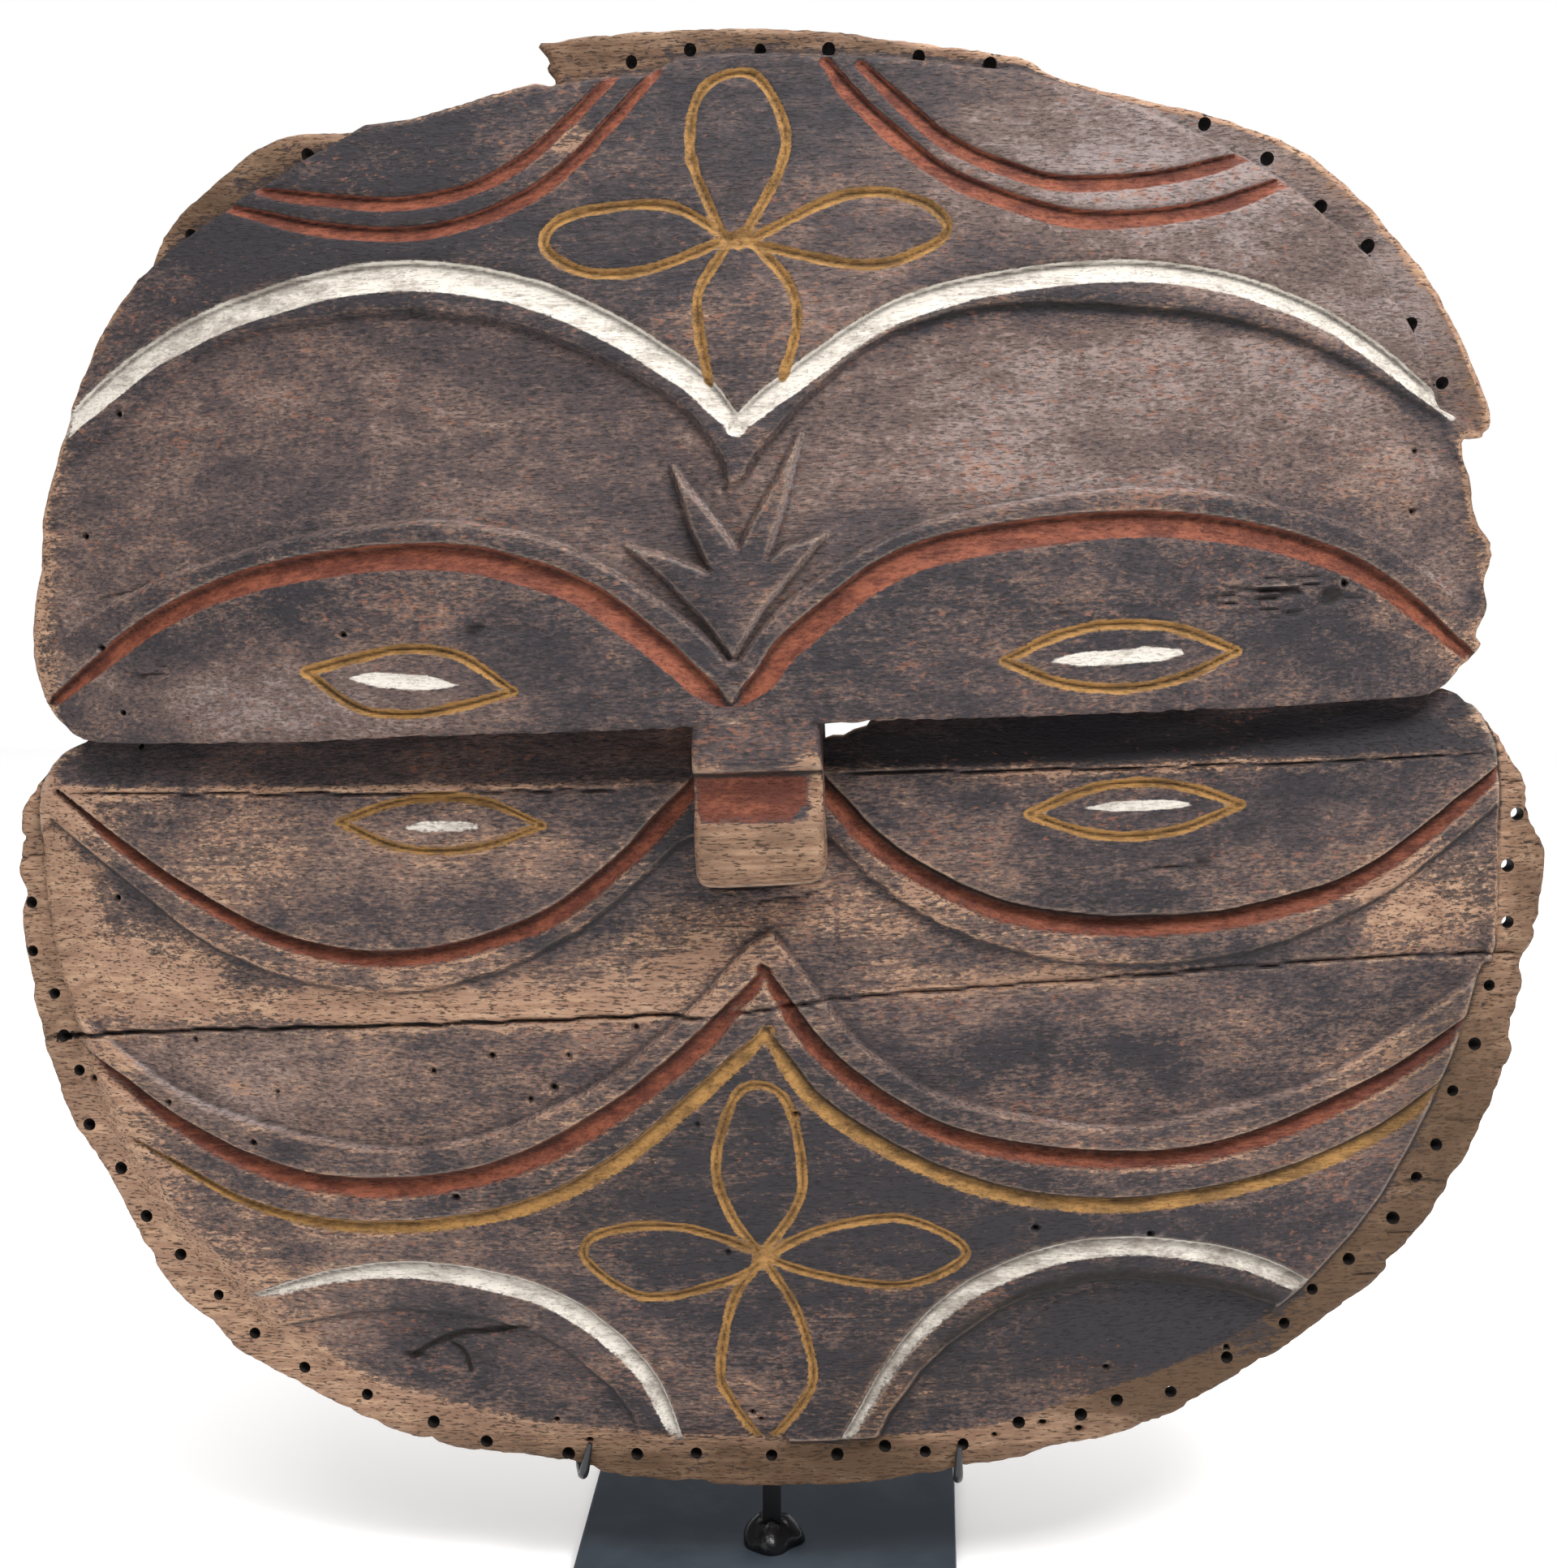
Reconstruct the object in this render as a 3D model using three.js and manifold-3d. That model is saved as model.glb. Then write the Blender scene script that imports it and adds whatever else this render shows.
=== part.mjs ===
// Carved wooden disc mask with a horizontal eye ledge, standing on a small steel display stand.
// Units are millimetres. X runs to the right, +Z is up, and the carved face looks towards -Y.
import * as THREE from 'three';
import { mergeVertices } from 'three/addons/utils/BufferGeometryUtils.js';
import Module from 'manifold-3d';

const wasm = await Module();
wasm.setup();

// Driving dimensions of the stand
const PLATE_SIZE = 98;
const PLATE_THICKNESS = 6;
const PLATE_EDGE_ROUND = 0.8;
const POST_SIDE = 4.6;
const POST_X = 1;
const POST_TOP = 247;
const WELD = { footRadius: 9, waistRadius: 6.4, topRadius: 4.4, waist: 4.4, height: 7, sides: 20 };
const HOOK_ROD_DIAMETER = 2.4;
const HOOK_BEND = 2.2;
const HOOK_TIP_RISE = 7.5;
const HOOK_ARM_RISE = 9;
const REST_PAD_WIDTH = 12;
const REST_PAD_HEIGHT = 22;
const CLEARANCE = 0.3;

// Place and pose of the mask on the stand: it leans back and its right side sits a little high
const MASK_ORIGIN = new THREE.Vector3(-1.4, -6.6, 225);
const MASK_LEAN_DEG = 5;
const MASK_ROLL_DEG = 2.3;

// Carving frame of the mask: u to the right, v up from the lip of the eye ledge, w out of the face
const HALF_WIDTH = 188;
const HALF_HEIGHT = 180;
const RIM_THICKNESS = 5;
const SIDE_FALL = 14;
const END_FALL = 4;
const FIELD_STEP = 3.5;
const LOWER_CROWN = 12;
const UPPER_RISE = 26;
const UPPER_TOP = 184;
const UPPER_SIDE = 192;
const UPPER_BEND = 1.6;
const WALL = 9;
const BACK_BEAM = 12;
const BACK_BEAM_HALF_HEIGHT = 14;
const BACK_LOWER_END = -20;
const BACK_UPPER_START = 25;
const HOLLOW_START = 0.8;
const DISC_CENTRE_V = -16;
const HOLLOW_HALF_WIDTH = 174;
const HOLLOW_HALF_HEIGHT = 163;

// Working block that every carving step starts from, and how far cutters reach past the wood
const BLOCK = { left: -200, right: 200, bottom: -205, top: 170 };
const SEAM = 12;
const PANEL_COLUMNS = 14;
const PANEL_ROWS = 12;
const BEHIND = -60;
const AHEAD = 80;
const CUT_ABOVE = 6;
const WELD_DISTANCE = 1e-5;

// Channel, groove and panel sizes
const ARC_DEPTH = 2.4;
const LINE_WIDTH = 2.4;
const LINE_DEPTH = 1.2;
const PIT = { depth: 1.8, topRadius: 3.8, floorRadius: 2.8, sides: 8 };
const BROW_PANEL_DEPTH = 2.8;
const CHEEK_PANEL_DEPTH = 2;
const CORNER_PANEL_DEPTH = 1.5;
const HOLE_DIAMETER = 3.2;
const HOLE_SIDES = 6;

// Heights of the carved forms above the carving plane
const square = (value) => value * value;
const positive = (value) => Math.max(0, value);
const smooth = (low, high, value) => THREE.MathUtils.smoothstep(value, low, high);

function rimFront(u, v) {
  return -SIDE_FALL * square(u / HALF_WIDTH) - END_FALL * square(v / HALF_HEIGHT);
}

function lowerFront(u, v) {
  const crown = positive(1 - square(u / HALF_WIDTH) - square(v / HALF_HEIGHT));
  return rimFront(u, v) + FIELD_STEP + LOWER_CROWN * crown;
}

function upperFront(u, v) {
  const across = positive(1 - square(u / UPPER_SIDE));
  const along = positive(1 - Math.pow(positive(v) / UPPER_TOP, UPPER_BEND));
  return rimFront(u, v) + FIELD_STEP + UPPER_RISE * across * along;
}

// The back is hollowed to follow the front, with a rounded beam left behind the eye ledge
function backFace(u, v) {
  const upperShare = smooth(BACK_LOWER_END, BACK_UPPER_START, v);
  const front = THREE.MathUtils.lerp(lowerFront(u, v), upperFront(u, v), upperShare);
  const across = positive(1 - square(u / HALF_WIDTH));
  const beam = BACK_BEAM * across * Math.exp(-square(v / BACK_BEAM_HALF_HEIGHT));
  const rimBack = rimFront(u, v) - RIM_THICKNESS;
  const radius = Math.hypot(u / HOLLOW_HALF_WIDTH, (v - DISC_CENTRE_V) / HOLLOW_HALF_HEIGHT);
  const hollow = positive(front - WALL - beam - rimBack);
  return rimBack + hollow * (1 - smooth(HOLLOW_START, 1, radius));
}

// Solids from geometry
function toSolid(geometry) {
  const bare = geometry.clone();
  bare.deleteAttribute('normal');
  bare.deleteAttribute('uv');
  const welded = mergeVertices(bare, WELD_DISTANCE);
  return new wasm.Manifold(new wasm.Mesh({
    numProp: 3,
    vertProperties: new Float32Array(welded.attributes.position.array),
    triVerts: new Uint32Array(welded.index.array),
  }));
}

function toGeometry(solid) {
  const mesh = solid.getMesh();
  const geometry = new THREE.BufferGeometry();
  geometry.setAttribute('position', new THREE.Float32BufferAttribute(mesh.vertProperties, 3));
  geometry.setIndex(Array.from(mesh.triVerts));
  return geometry;
}

// A block whose top follows a height function, on a grid
function domedBlock(height, columns, rows, extent = BLOCK) {
  const { left, right, bottom, top } = extent;
  const width = right - left;
  const tall = top - bottom;
  const geometry = new THREE.BoxGeometry(width, tall, 2, columns, rows, 1);
  const position = geometry.attributes.position;
  for (let i = 0; i < position.count; i += 1) {
    const u = position.getX(i) + (left + right) / 2;
    const v = position.getY(i) + (bottom + top) / 2;
    position.setXYZ(i, u, v, position.getZ(i) > 0 ? height(u, v) : BEHIND);
  }
  return toSolid(geometry);
}

function prism(points, low = BEHIND, high = AHEAD) {
  const shape = new THREE.Shape(points.map(([u, v]) => new THREE.Vector2(u, v)));
  const geometry = new THREE.ExtrudeGeometry(shape, { depth: high - low, bevelEnabled: false });
  geometry.translate(0, 0, low);
  return toSolid(geometry);
}

// Everything in front of a surface sunk below the carved face, inside an outline
function sunkPanel(points, surface, depth) {
  const sunk = (u, v) => surface(u, v) - depth(u, v);
  const below = domedBlock(sunk, PANEL_COLUMNS, PANEL_ROWS);
  return prism(points).subtract(below);
}

// A closed solid skinned over a row of rings, each an equal list of points. The points of a ring
// run anticlockwise when the next ring lies towards the viewer
function skin(rings) {
  const corners = rings[0].length;
  const faces = [];
  for (let i = 0; i < rings.length - 1; i += 1) {
    for (let j = 0; j < corners; j += 1) {
      const a = i * corners + j;
      const b = i * corners + (j + 1) % corners;
      faces.push(a, b, b + corners, a, b + corners, a + corners);
    }
  }
  const last = (rings.length - 1) * corners;
  for (let j = 1; j < corners - 1; j += 1) {
    faces.push(0, j + 1, j, last, last + j, last + j + 1);
  }
  const geometry = new THREE.BufferGeometry();
  geometry.setFromPoints(rings.flat());
  geometry.setIndex(faces);
  return toSolid(geometry);
}

// A cutter that follows a smooth line over the carved face. Each profile corner is a pair:
// share of the half width to the side, and height above the face
function lineCutter(points, surface, width, profile, stations) {
  const curve = new THREE.SplineCurve(points.map(([u, v]) => new THREE.Vector2(u, v)));
  const rings = [];
  for (let i = 0; i <= stations; i += 1) {
    const share = i / stations;
    const point = curve.getPoint(share);
    const along = curve.getTangent(share);
    const half = (typeof width === 'function' ? width(share) : width) / 2;
    const height = surface(point.x, point.y);
    rings.push(profile.map(([side, lift]) => new THREE.Vector3(
      point.x - along.y * side * half, point.y + along.x * side * half, height + lift)));
  }
  return skin(rings);
}

// A gouge channel has a flat floor and sloping sides, and a drawn line is a small V
const FLOOR_SHARE = 0.45;

function channel(points, surface, width, depth = ARC_DEPTH, stations = 8) {
  const top = 1 + (1 - FLOOR_SHARE) * CUT_ABOVE / depth;
  const profile = [[FLOOR_SHARE, -depth], [top, CUT_ABOVE], [-top, CUT_ABOVE], [-FLOOR_SHARE, -depth]];
  return lineCutter(points, surface, width, profile, stations);
}

function drawnLine(points, surface, stations) {
  const top = 1 + CUT_ABOVE / LINE_DEPTH;
  const profile = [[0, -LINE_DEPTH], [top, CUT_ABOVE], [-top, CUT_ABOVE]];
  return lineCutter(points, surface, LINE_WIDTH, profile, stations);
}

// The small pit where the drawn lines of a flower meet swallows the ends of the lines
function flowerPit([u, v], surface) {
  const height = CUT_ABOVE + PIT.depth;
  const pit = new THREE.CylinderGeometry(PIT.topRadius, PIT.floorRadius, height, PIT.sides);
  pit.rotateX(Math.PI / 2);
  pit.translate(u, v, surface(u, v) + (CUT_ABOVE - PIT.depth) / 2);
  return toSolid(pit);
}

// A width that changes evenly from the start to the middle and on to the end
const taper = (start, middle, end) => (share) => (share < 0.5
  ? THREE.MathUtils.lerp(start, middle, share * 2)
  : THREE.MathUtils.lerp(middle, end, share * 2 - 1));

// Outline of the upper half, clockwise from the left end of the lip. The rim flange is broken
// away along both sides and between two stubs at the upper left
const LEFT_EDGE = [
  [-160, -1.5], [-168.5, -0.5], [-176.5, 6.5], [-180, 18], [-179.5, 27.5], [-175, 47.5],
  [-175, 54.5], [-164, 83.5], [-154.5, 100], [-146.5, 108.5],
];
const LEFT_STUB = [[-145, 114], [-133, 126], [-120.5, 135], [-108, 140.5], [-93, 140]];
const TOP_LEFT_EDGE = [[-76, 143.5], [-60, 147.5], [-42, 151.5]];
const TOP_FLANGE = [
  [-44, 153.5], [-46, 158.5], [-28.5, 161.5], [-5, 162.5], [17.5, 161], [32.5, 158.5],
  [55.5, 155], [67.5, 152.5], [72.5, 149], [93, 142.5], [112, 138], [131, 130.5], [146, 118],
  [153.5, 109], [162.5, 98], [170, 83.5], [176.5, 67.5], [176.5, 63.5], [173.5, 60.5],
];
const RIGHT_EDGE = [
  [167, 61], [169, 54], [170.5, 41.5], [175.5, 34.5], [172.5, 27], [173.5, 20], [170, 14.5],
  [172.5, 11.5], [160.5, 1], [154, 0.5],
];
const LIP = [[118, 0], [50, 0.5], [0, 0.5], [-60, 0], [-122, -1.5]];
const LEFT_STUB_STEP = [[-143.5, 111.5], [-136, 117], [-121, 126.5], [-96, 139]];
const TOP_STEP = [
  [-21, 151.5], [-14, 154.5], [8, 155], [36.5, 152.5], [66.5, 148], [93, 139], [117.5, 127],
  [130.5, 117.5], [146, 103.5], [157.5, 84], [163, 67.5],
];
const upperOutline = [
  ...LEFT_EDGE, ...LEFT_STUB, ...TOP_LEFT_EDGE, ...TOP_FLANGE, ...RIGHT_EDGE, ...LIP,
];
const upperFieldOutline = [
  ...LEFT_EDGE, ...LEFT_STUB_STEP, ...TOP_LEFT_EDGE, ...TOP_STEP, ...RIGHT_EDGE, ...LIP,
];

// Outline of the lower half, with the nicks and worn scallops of its flange
const LOWER_TOP = [[172.5, -3.5], [166.5, 1], [160.5, 1], [158, 5], [-164, 5], [-168.5, -0.5]];
const LOWER_LEFT = [
  [-176.5, -5], [-181.5, -10], [-188.5, -18], [-189.5, -24.5], [-188, -26], [-189.5, -27.5],
  [-191, -35], [-189, -40], [-191, -43], [-191, -50], [-188.5, -75.5], [-182, -98.5],
  [-171.5, -115], [-169.5, -120], [-162, -136.5], [-156, -145.5], [-145.5, -153.5],
  [-140, -160.5], [-118.5, -172], [-99.5, -181], [-81, -186], [-64, -186.5], [-43.5, -192],
  [-24, -194], [0, -195],
];
const LOWER_RIGHT = [
  [23, -194], [42, -191], [57.5, -189], [66.5, -185.5], [81.5, -183.5], [97.5, -178],
  [109, -170.5], [118, -166.5], [140.5, -151], [148.5, -145], [154.5, -137], [161, -130],
  [173.5, -109.5], [178, -97.5], [182, -90], [181, -82.5], [184.5, -72.5], [183.5, -67],
  [188, -59], [189.5, -44], [189.5, -37.5], [185, -29.5], [185, -22], [179.5, -12.5],
];
const LOWER_STEP = [
  [-182.5, -14], [-183, -38], [-181, -59], [-175.5, -77.5], [-170, -99.5], [-159, -119],
  [-153, -128], [-141.5, -138], [-129.5, -153], [-110, -165.5], [-90.5, -172.5],
  [-53, -180.5], [0, -182.5], [49, -180], [66.5, -175], [97.5, -165.5], [124.5, -150.5],
  [146, -127.5], [158.5, -106], [168.5, -83], [173, -66], [176.5, -65.5], [177.5, -44],
  [177.5, -14],
];
const lowerOutline = [...LOWER_TOP, ...LOWER_LEFT, ...LOWER_RIGHT];
const lowerFieldOutline = [...LOWER_TOP, [-177, -5], ...LOWER_STEP];

// Carved lines of the upper half
const UPPER_ARCS = [
  // Left brow
  { width: taper(4, 6, 5), points: [
    [-173, 10], [-142.5, 29], [-110, 39], [-71.5, 41.5], [-42, 34], [-15.5, 16], [-1.5, 3]] },
  // Right brow
  { width: taper(5, 6, 4.5), points: [
    [-3.5, 3.5], [10.5, 20], [37, 37], [74, 43], [108, 41.5], [142, 30.5], [170, 8]] },
  // Left white
  { width: taper(5, 7.4, 5.5), points: [
    [-163, 78], [-139.5, 93], [-106, 104], [-74, 106.5], [-43, 99], [-14, 82], [-1, 69]] },
  // Right white
  { width: taper(5.5, 5.5, 4), points: [
    [-2.5, 67], [12, 79], [38.5, 94.5], [75, 101], [107, 99], [136, 88], [162, 69]] },
  // Left outer red
  { width: 3.4, points: [
    [-114, 128.5], [-97.5, 125.5], [-79.5, 123.5], [-62, 126], [-46.5, 134], [-28, 150.5]] },
  // Left inner red
  { width: 3.6, points: [
    [-122, 125], [-97.5, 118.5], [-74, 116.5], [-54.5, 121], [-39, 130], [-18, 151]] },
  // Right outer red
  { width: 4, points: [
    [29, 150.5], [47, 133], [61.5, 125.5], [76.5, 121.5], [99, 122.5], [116, 126.5]] },
  // Right inner red
  { width: 4.4, points: [
    [21, 151.5], [29, 141], [47, 125], [69, 115.5], [83.5, 113], [106, 114.5], [124, 120]] },
];
const BROW_PANEL_TOP = [
  [-168, 64], [-151, 75], [-131, 91], [-116, 96], [-82, 99.5], [-51, 94.5], [-28, 84],
  [-14, 71], [-4.5, 54.5], [16, 78.5], [31, 89], [53, 94], [75, 94.5], [109, 90.5],
  [128, 85], [143.5, 77], [166, 63],
];
const BROW_PANEL_FOOT = [
  [170.5, 19.5], [154.5, 32], [138.5, 42], [108, 50.5], [82, 52], [44.5, 47.5], [15, 35.5],
  [-4, 15.5], [-15, 27], [-44.5, 45.5], [-71.5, 50.5], [-107.5, 47.5], [-142, 38.5],
  [-158, 32], [-172, 24],
];
const CROWN = [
  [-15.5, 60], [-2, 41.5], [-0.5, 43.5], [13, 65.5], [4, 38], [14, 43], [18, 43], [-3.5, 16],
  [-27, 40.5], [-24.5, 43], [-8.5, 36.5],
];
const UPPER_FLOWER_CENTRE = [-1, 111];
const UPPER_FLOWER = [
  { stations: 8, points: [
    [-3, 111], [-10.5, 131.5], [-7.5, 146.5], [4, 149.5], [11, 138], [10, 127], [0, 110]] },
  { stations: 9, points: [
    [-1, 111], [-16.5, 120], [-39, 118.5], [-45, 112], [-35.5, 105.5], [-20.5, 105.5], [-1, 112]] },
  { stations: 9, points: [
    [0, 110], [24.5, 120.5], [41, 119], [48, 112.5], [42.5, 107.5], [28, 104.5], [0, 111]] },
  { stations: 5, points: [[-2, 111], [-9, 100.5], [-9.5, 92], [-7.5, 79]] },
  { stations: 5, points: [[1, 113], [11, 101.5], [13, 91.5], [9.5, 79.5]] },
];

// Carved lines of the lower half
const LOWER_ARCS = [
  // Left cheek red
  { width: taper(3, 4.4, 5), points: [
    [-177, -14], [-149, -35.5], [-118, -51.5], [-88, -55.5], [-55.5, -47.5], [-33, -32.5],
    [-14, -13]] },
  // Right cheek red
  { width: taper(5.4, 5.4, 4.6), points: [
    [13, -13], [30, -32], [57.5, -47], [90, -51.8], [119.5, -49.7], [147, -41], [176, -20]] },
  // Left chin red
  { width: taper(4, 5.6, 5), points: [
    [-176, -80.5], [-147, -101.5], [-118, -112.5], [-85, -113], [-54, -103.5], [-23, -83],
    [0.5, -60]] },
  // Right chin red
  { width: taper(4.5, 5, 4), points: [
    [-1, -58], [14.5, -82], [43, -101.7], [81, -109.7], [115, -107], [150, -93], [170, -80]] },
  // Left ochre
  { width: taper(2, 4, 4.6), points: [
    [-164, -103], [-132, -119.7], [-100, -124.4], [-65, -119.5], [-40, -108], [-18.5, -91],
    [0.5, -74]] },
  // Right ochre
  { width: taper(4.6, 4.4, 4), points: [
    [-1, -74.5], [14, -95], [45.5, -113.5], [80, -121], [115, -118], [145.5, -108], [164, -95]] },
  // Left corner white
  { width: taper(2.5, 5.6, 4), points: [
    [-136, -144.5], [-105.5, -136.5], [-80, -136.5], [-54, -144], [-35, -161.5], [-26.5, -183]] },
  // Right corner white
  { width: taper(3.4, 5.2, 4.4), points: [
    [14.5, -182], [32, -154.7], [52, -138.7], [80, -131.8], [110.5, -136.5], [130, -145.5]] },
];
const CHEEK_PANEL = [
  [-184, -16], [-160, -35.5], [-140, -51], [-119, -60], [-98, -63.5], [-81.5, -62.5],
  [-61, -57], [-41, -46.5], [-14, -23], [15, -25], [28, -39.5], [46, -51.5], [69, -59],
  [96, -61], [119.5, -58.5], [147, -48], [167, -34], [179, -25], [177, -66], [152.5, -82],
  [132.5, -93.5], [107.5, -99], [81, -103], [41, -93], [22, -79.5], [6.5, -57], [0.5, -49],
  [-17.5, -69], [-40.5, -87.5], [-69, -100.5], [-95, -105], [-123.5, -100.5],
  [-148.5, -92.5], [-168.5, -78.5], [-183, -66],
];
const LEFT_CORNER_PANEL = [
  [-133, -152], [-101, -146], [-79, -146.5], [-57, -153], [-39, -170], [-34, -190],
  [-90, -190], [-133, -170],
];
const RIGHT_CORNER_PANEL = [
  [22, -190], [23, -178], [36.5, -159], [57, -144.5], [80.5, -139.5], [107.5, -144],
  [126, -151], [110, -175], [60, -192],
];
const LOWER_FLOWER_CENTRE = [-3, -131.5];
const LOWER_FLOWER = [
  { stations: 9, points: [
    [-2, -133], [-10.5, -121], [-14, -108], [-9.5, -92], [-3.5, -87.3], [4, -92], [7, -109.5],
    [4.5, -119.5], [-5, -132]] },
  { stations: 9, points: [
    [-2, -131], [-22.5, -123.5], [-42, -124.5], [-47.5, -131.5], [-33.5, -141.5],
    [-13.5, -138], [-1, -131.5]] },
  { stations: 9, points: [
    [-3, -131.5], [9.5, -125], [30.5, -122], [46, -131.5], [31, -139.5], [9, -136], [-4, -131]] },
  { stations: 7, points: [
    [-4, -132], [-11.5, -143], [-15.5, -161.5], [-13.5, -169], [-7, -180]] },
  { stations: 7, points: [
    [-4, -131], [4, -145.5], [7.5, -162], [4.5, -170.5], [-3, -180]] },
];

// The four lens shaped eyes, each with one short slash
const EYE_SHOULDER = 0.74;
const EYES = [
  { surface: upperFront, left: [-106, 15.5], right: [-55, 10], rise: 7.6, slash: [-97, -67, 13] },
  { surface: upperFront, left: [58, 13.5], right: [112, 13.5], rise: 7.6, slash: [66, 103, 13.5] },
  { surface: lowerFront, left: [-102, -21.5], right: [-52, -23], rise: 6.6, slash: [-87, -64, -23] },
  { surface: lowerFront, left: [63.5, -23.5], right: [113.5, -23.5], rise: 6.6, slash: [73, 100, -22.7] },
];

// Lashing holes in the rim
const UPPER_HOLES = [
  [-104, 137.5], [-134.5, 120.5], [-25, 155.5], [-11, 157.5], [5.5, 156.5], [21.5, 156],
  [42.5, 153.5], [59, 151], [109, 136], [123.5, 127.5], [136, 116], [147, 106.5], [157, 88],
  [164.5, 74],
];
const LOWER_HOLES = [
  [182.5, -30], [180, -42.5], [180, -56.5], [175.5, -72], [172, -86.5], [166.5, -98],
  [162.5, -111.5], [157.5, -119.5], [151.5, -129.5], [140.5, -139.5], [131.5, -147],
  [124.5, -155.5], [110, -163.5], [96, -172], [82.5, -173.5], [73.5, -177], [58, -178.5],
  [44, -184], [34.5, -185.5], [24.5, -184], [12.5, -186], [-4, -186], [-23, -185.5],
  [-38, -185.5], [-55.5, -185.5], [-76.5, -182.5], [-90, -177.5], [-107, -170.5],
  [-123, -163.5], [-135.5, -154.5], [-144.5, -144.5], [-154, -134], [-162.5, -124],
  [-168.5, -111.5], [-176, -100], [-178, -86], [-181.5, -77], [-183, -66], [-188, -55],
  [-187.5, -42.5],
];

// The eye ledge: a wedge cut between the lip and the lower half, with a see-through slit on
// each side of the nose. The left slit rises towards the back
const LEDGE = {
  foot: -13.5, back: 1.5, ramp: 8, depthMiddle: 9, depthEnd: 4.5, undercut: 0.7, lip: -0.4,
  reach: 195, stations: 14,
};
const LEAN = THREE.MathUtils.degToRad(MASK_LEAN_DEG);
const SLIT_REACH = { front: 21, back: -5 };
const SLITS = [
  { left: -44, right: -15, floor: -4.8, ceiling: 3, rise: Math.tan(LEAN) },
  { left: 16, right: 46, floor: -5.3, ceiling: 2, rise: 0 },
];

function ledgeCutter() {
  const rings = [];
  for (let i = 0; i <= LEDGE.stations; i += 1) {
    const u = THREE.MathUtils.lerp(-LEDGE.reach, LEDGE.reach, i / LEDGE.stations);
    const middle = positive(1 - square(u / HALF_WIDTH));
    const depth = THREE.MathUtils.lerp(LEDGE.depthEnd, LEDGE.depthMiddle, middle);
    const slope = depth / (LEDGE.back - LEDGE.foot);
    const cheek = lowerFront(u, 0);
    const floor = cheek - depth;
    const start = LEDGE.foot - LEDGE.ramp;
    const corners = [
      [start, cheek + slope * LEDGE.ramp], [LEDGE.back, floor],
      [LEDGE.back + LEDGE.undercut, floor + 1], [LEDGE.lip, Math.max(upperFront(u, 0), floor + 2)],
      [LEDGE.lip, AHEAD], [start, AHEAD],
    ];
    rings.push(corners.map(([v, w]) => new THREE.Vector3(u, v, w)));
  }
  return skin(rings);
}

// Nose block, drawn from the side: black face, a concave red step and a rounded tip. Heights are
// measured from the face of the upper half
const NOSE = {
  left: -14, right: 15.5, flare: 1, root: -2, top: 6, step: -10, stepDepth: 1.8,
  coveLow: -17, coveDepth: 4.6, tipStart: -24, tipEnd: -36, foot: -39, footDepth: 3,
};

function noseBlock() {
  const face = upperFront(0, 0);
  const side = new THREE.Shape();
  side.moveTo(NOSE.top, NOSE.root);
  side.lineTo(NOSE.top, face - 0.6);
  side.lineTo(0, face);
  side.lineTo(NOSE.step + 0.5, face + 0.6);
  side.lineTo(NOSE.step, face - NOSE.stepDepth);
  side.quadraticCurveTo(NOSE.coveLow, face - NOSE.coveDepth, NOSE.tipStart, face - 0.8);
  side.quadraticCurveTo((NOSE.tipStart + NOSE.tipEnd) / 2, face + 0.6, NOSE.tipEnd, face - 1.8);
  side.quadraticCurveTo(NOSE.foot, face - 4, NOSE.foot, lowerFront(0, NOSE.foot) - NOSE.footDepth);
  side.lineTo(NOSE.foot + 2, NOSE.root);
  const width = NOSE.right - NOSE.left;
  const geometry = new THREE.ExtrudeGeometry(side, { depth: width, bevelEnabled: false, curveSegments: 4 });
  const position = geometry.attributes.position;
  for (let i = 0; i < position.count; i += 1) {
    const v = position.getX(i);
    const share = position.getZ(i) / width;
    const spread = NOSE.flare * positive(-v) / -NOSE.foot * (share - 0.5);
    position.setXYZ(i, NOSE.left + share * width + spread, v, position.getY(i));
  }
  return toSolid(geometry);
}

function slitCutter({ left, right, floor, ceiling, rise }) {
  const depth = SLIT_REACH.front - SLIT_REACH.back;
  const geometry = new THREE.BoxGeometry(right - left, ceiling - floor, depth);
  geometry.translate((left + right) / 2, (floor + ceiling) / 2, SLIT_REACH.back + depth / 2);
  const position = geometry.attributes.position;
  for (let i = 0; i < position.count; i += 1) {
    const w = position.getZ(i);
    position.setY(i, position.getY(i) + (LEDGE.depthMiddle - w) * rise);
  }
  return toSolid(geometry);
}

function holeCutters() {
  let cutters = null;
  for (const [u, v] of [...UPPER_HOLES, ...LOWER_HOLES]) {
    const radius = HOLE_DIAMETER / 2;
    const drill = new THREE.CylinderGeometry(radius, radius, AHEAD, HOLE_SIDES);
    drill.rotateX(Math.PI / 2);
    drill.translate(u, v, 0);
    const solid = toSolid(drill);
    cutters = cutters ? cutters.add(solid) : solid;
  }
  return cutters;
}

// Upper and lower edge of an eye
function lens({ left, right, rise }) {
  const middleU = (left[0] + right[0]) / 2;
  const middleV = (left[1] + right[1]) / 2;
  const quarter = (right[0] - left[0]) / 4;
  return [rise, -rise].map((height) => {
    const shoulder = middleV + height * EYE_SHOULDER;
    return [left, [middleU - quarter, shoulder], [middleU, middleV + height], [middleU + quarter, shoulder], right];
  });
}

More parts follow.
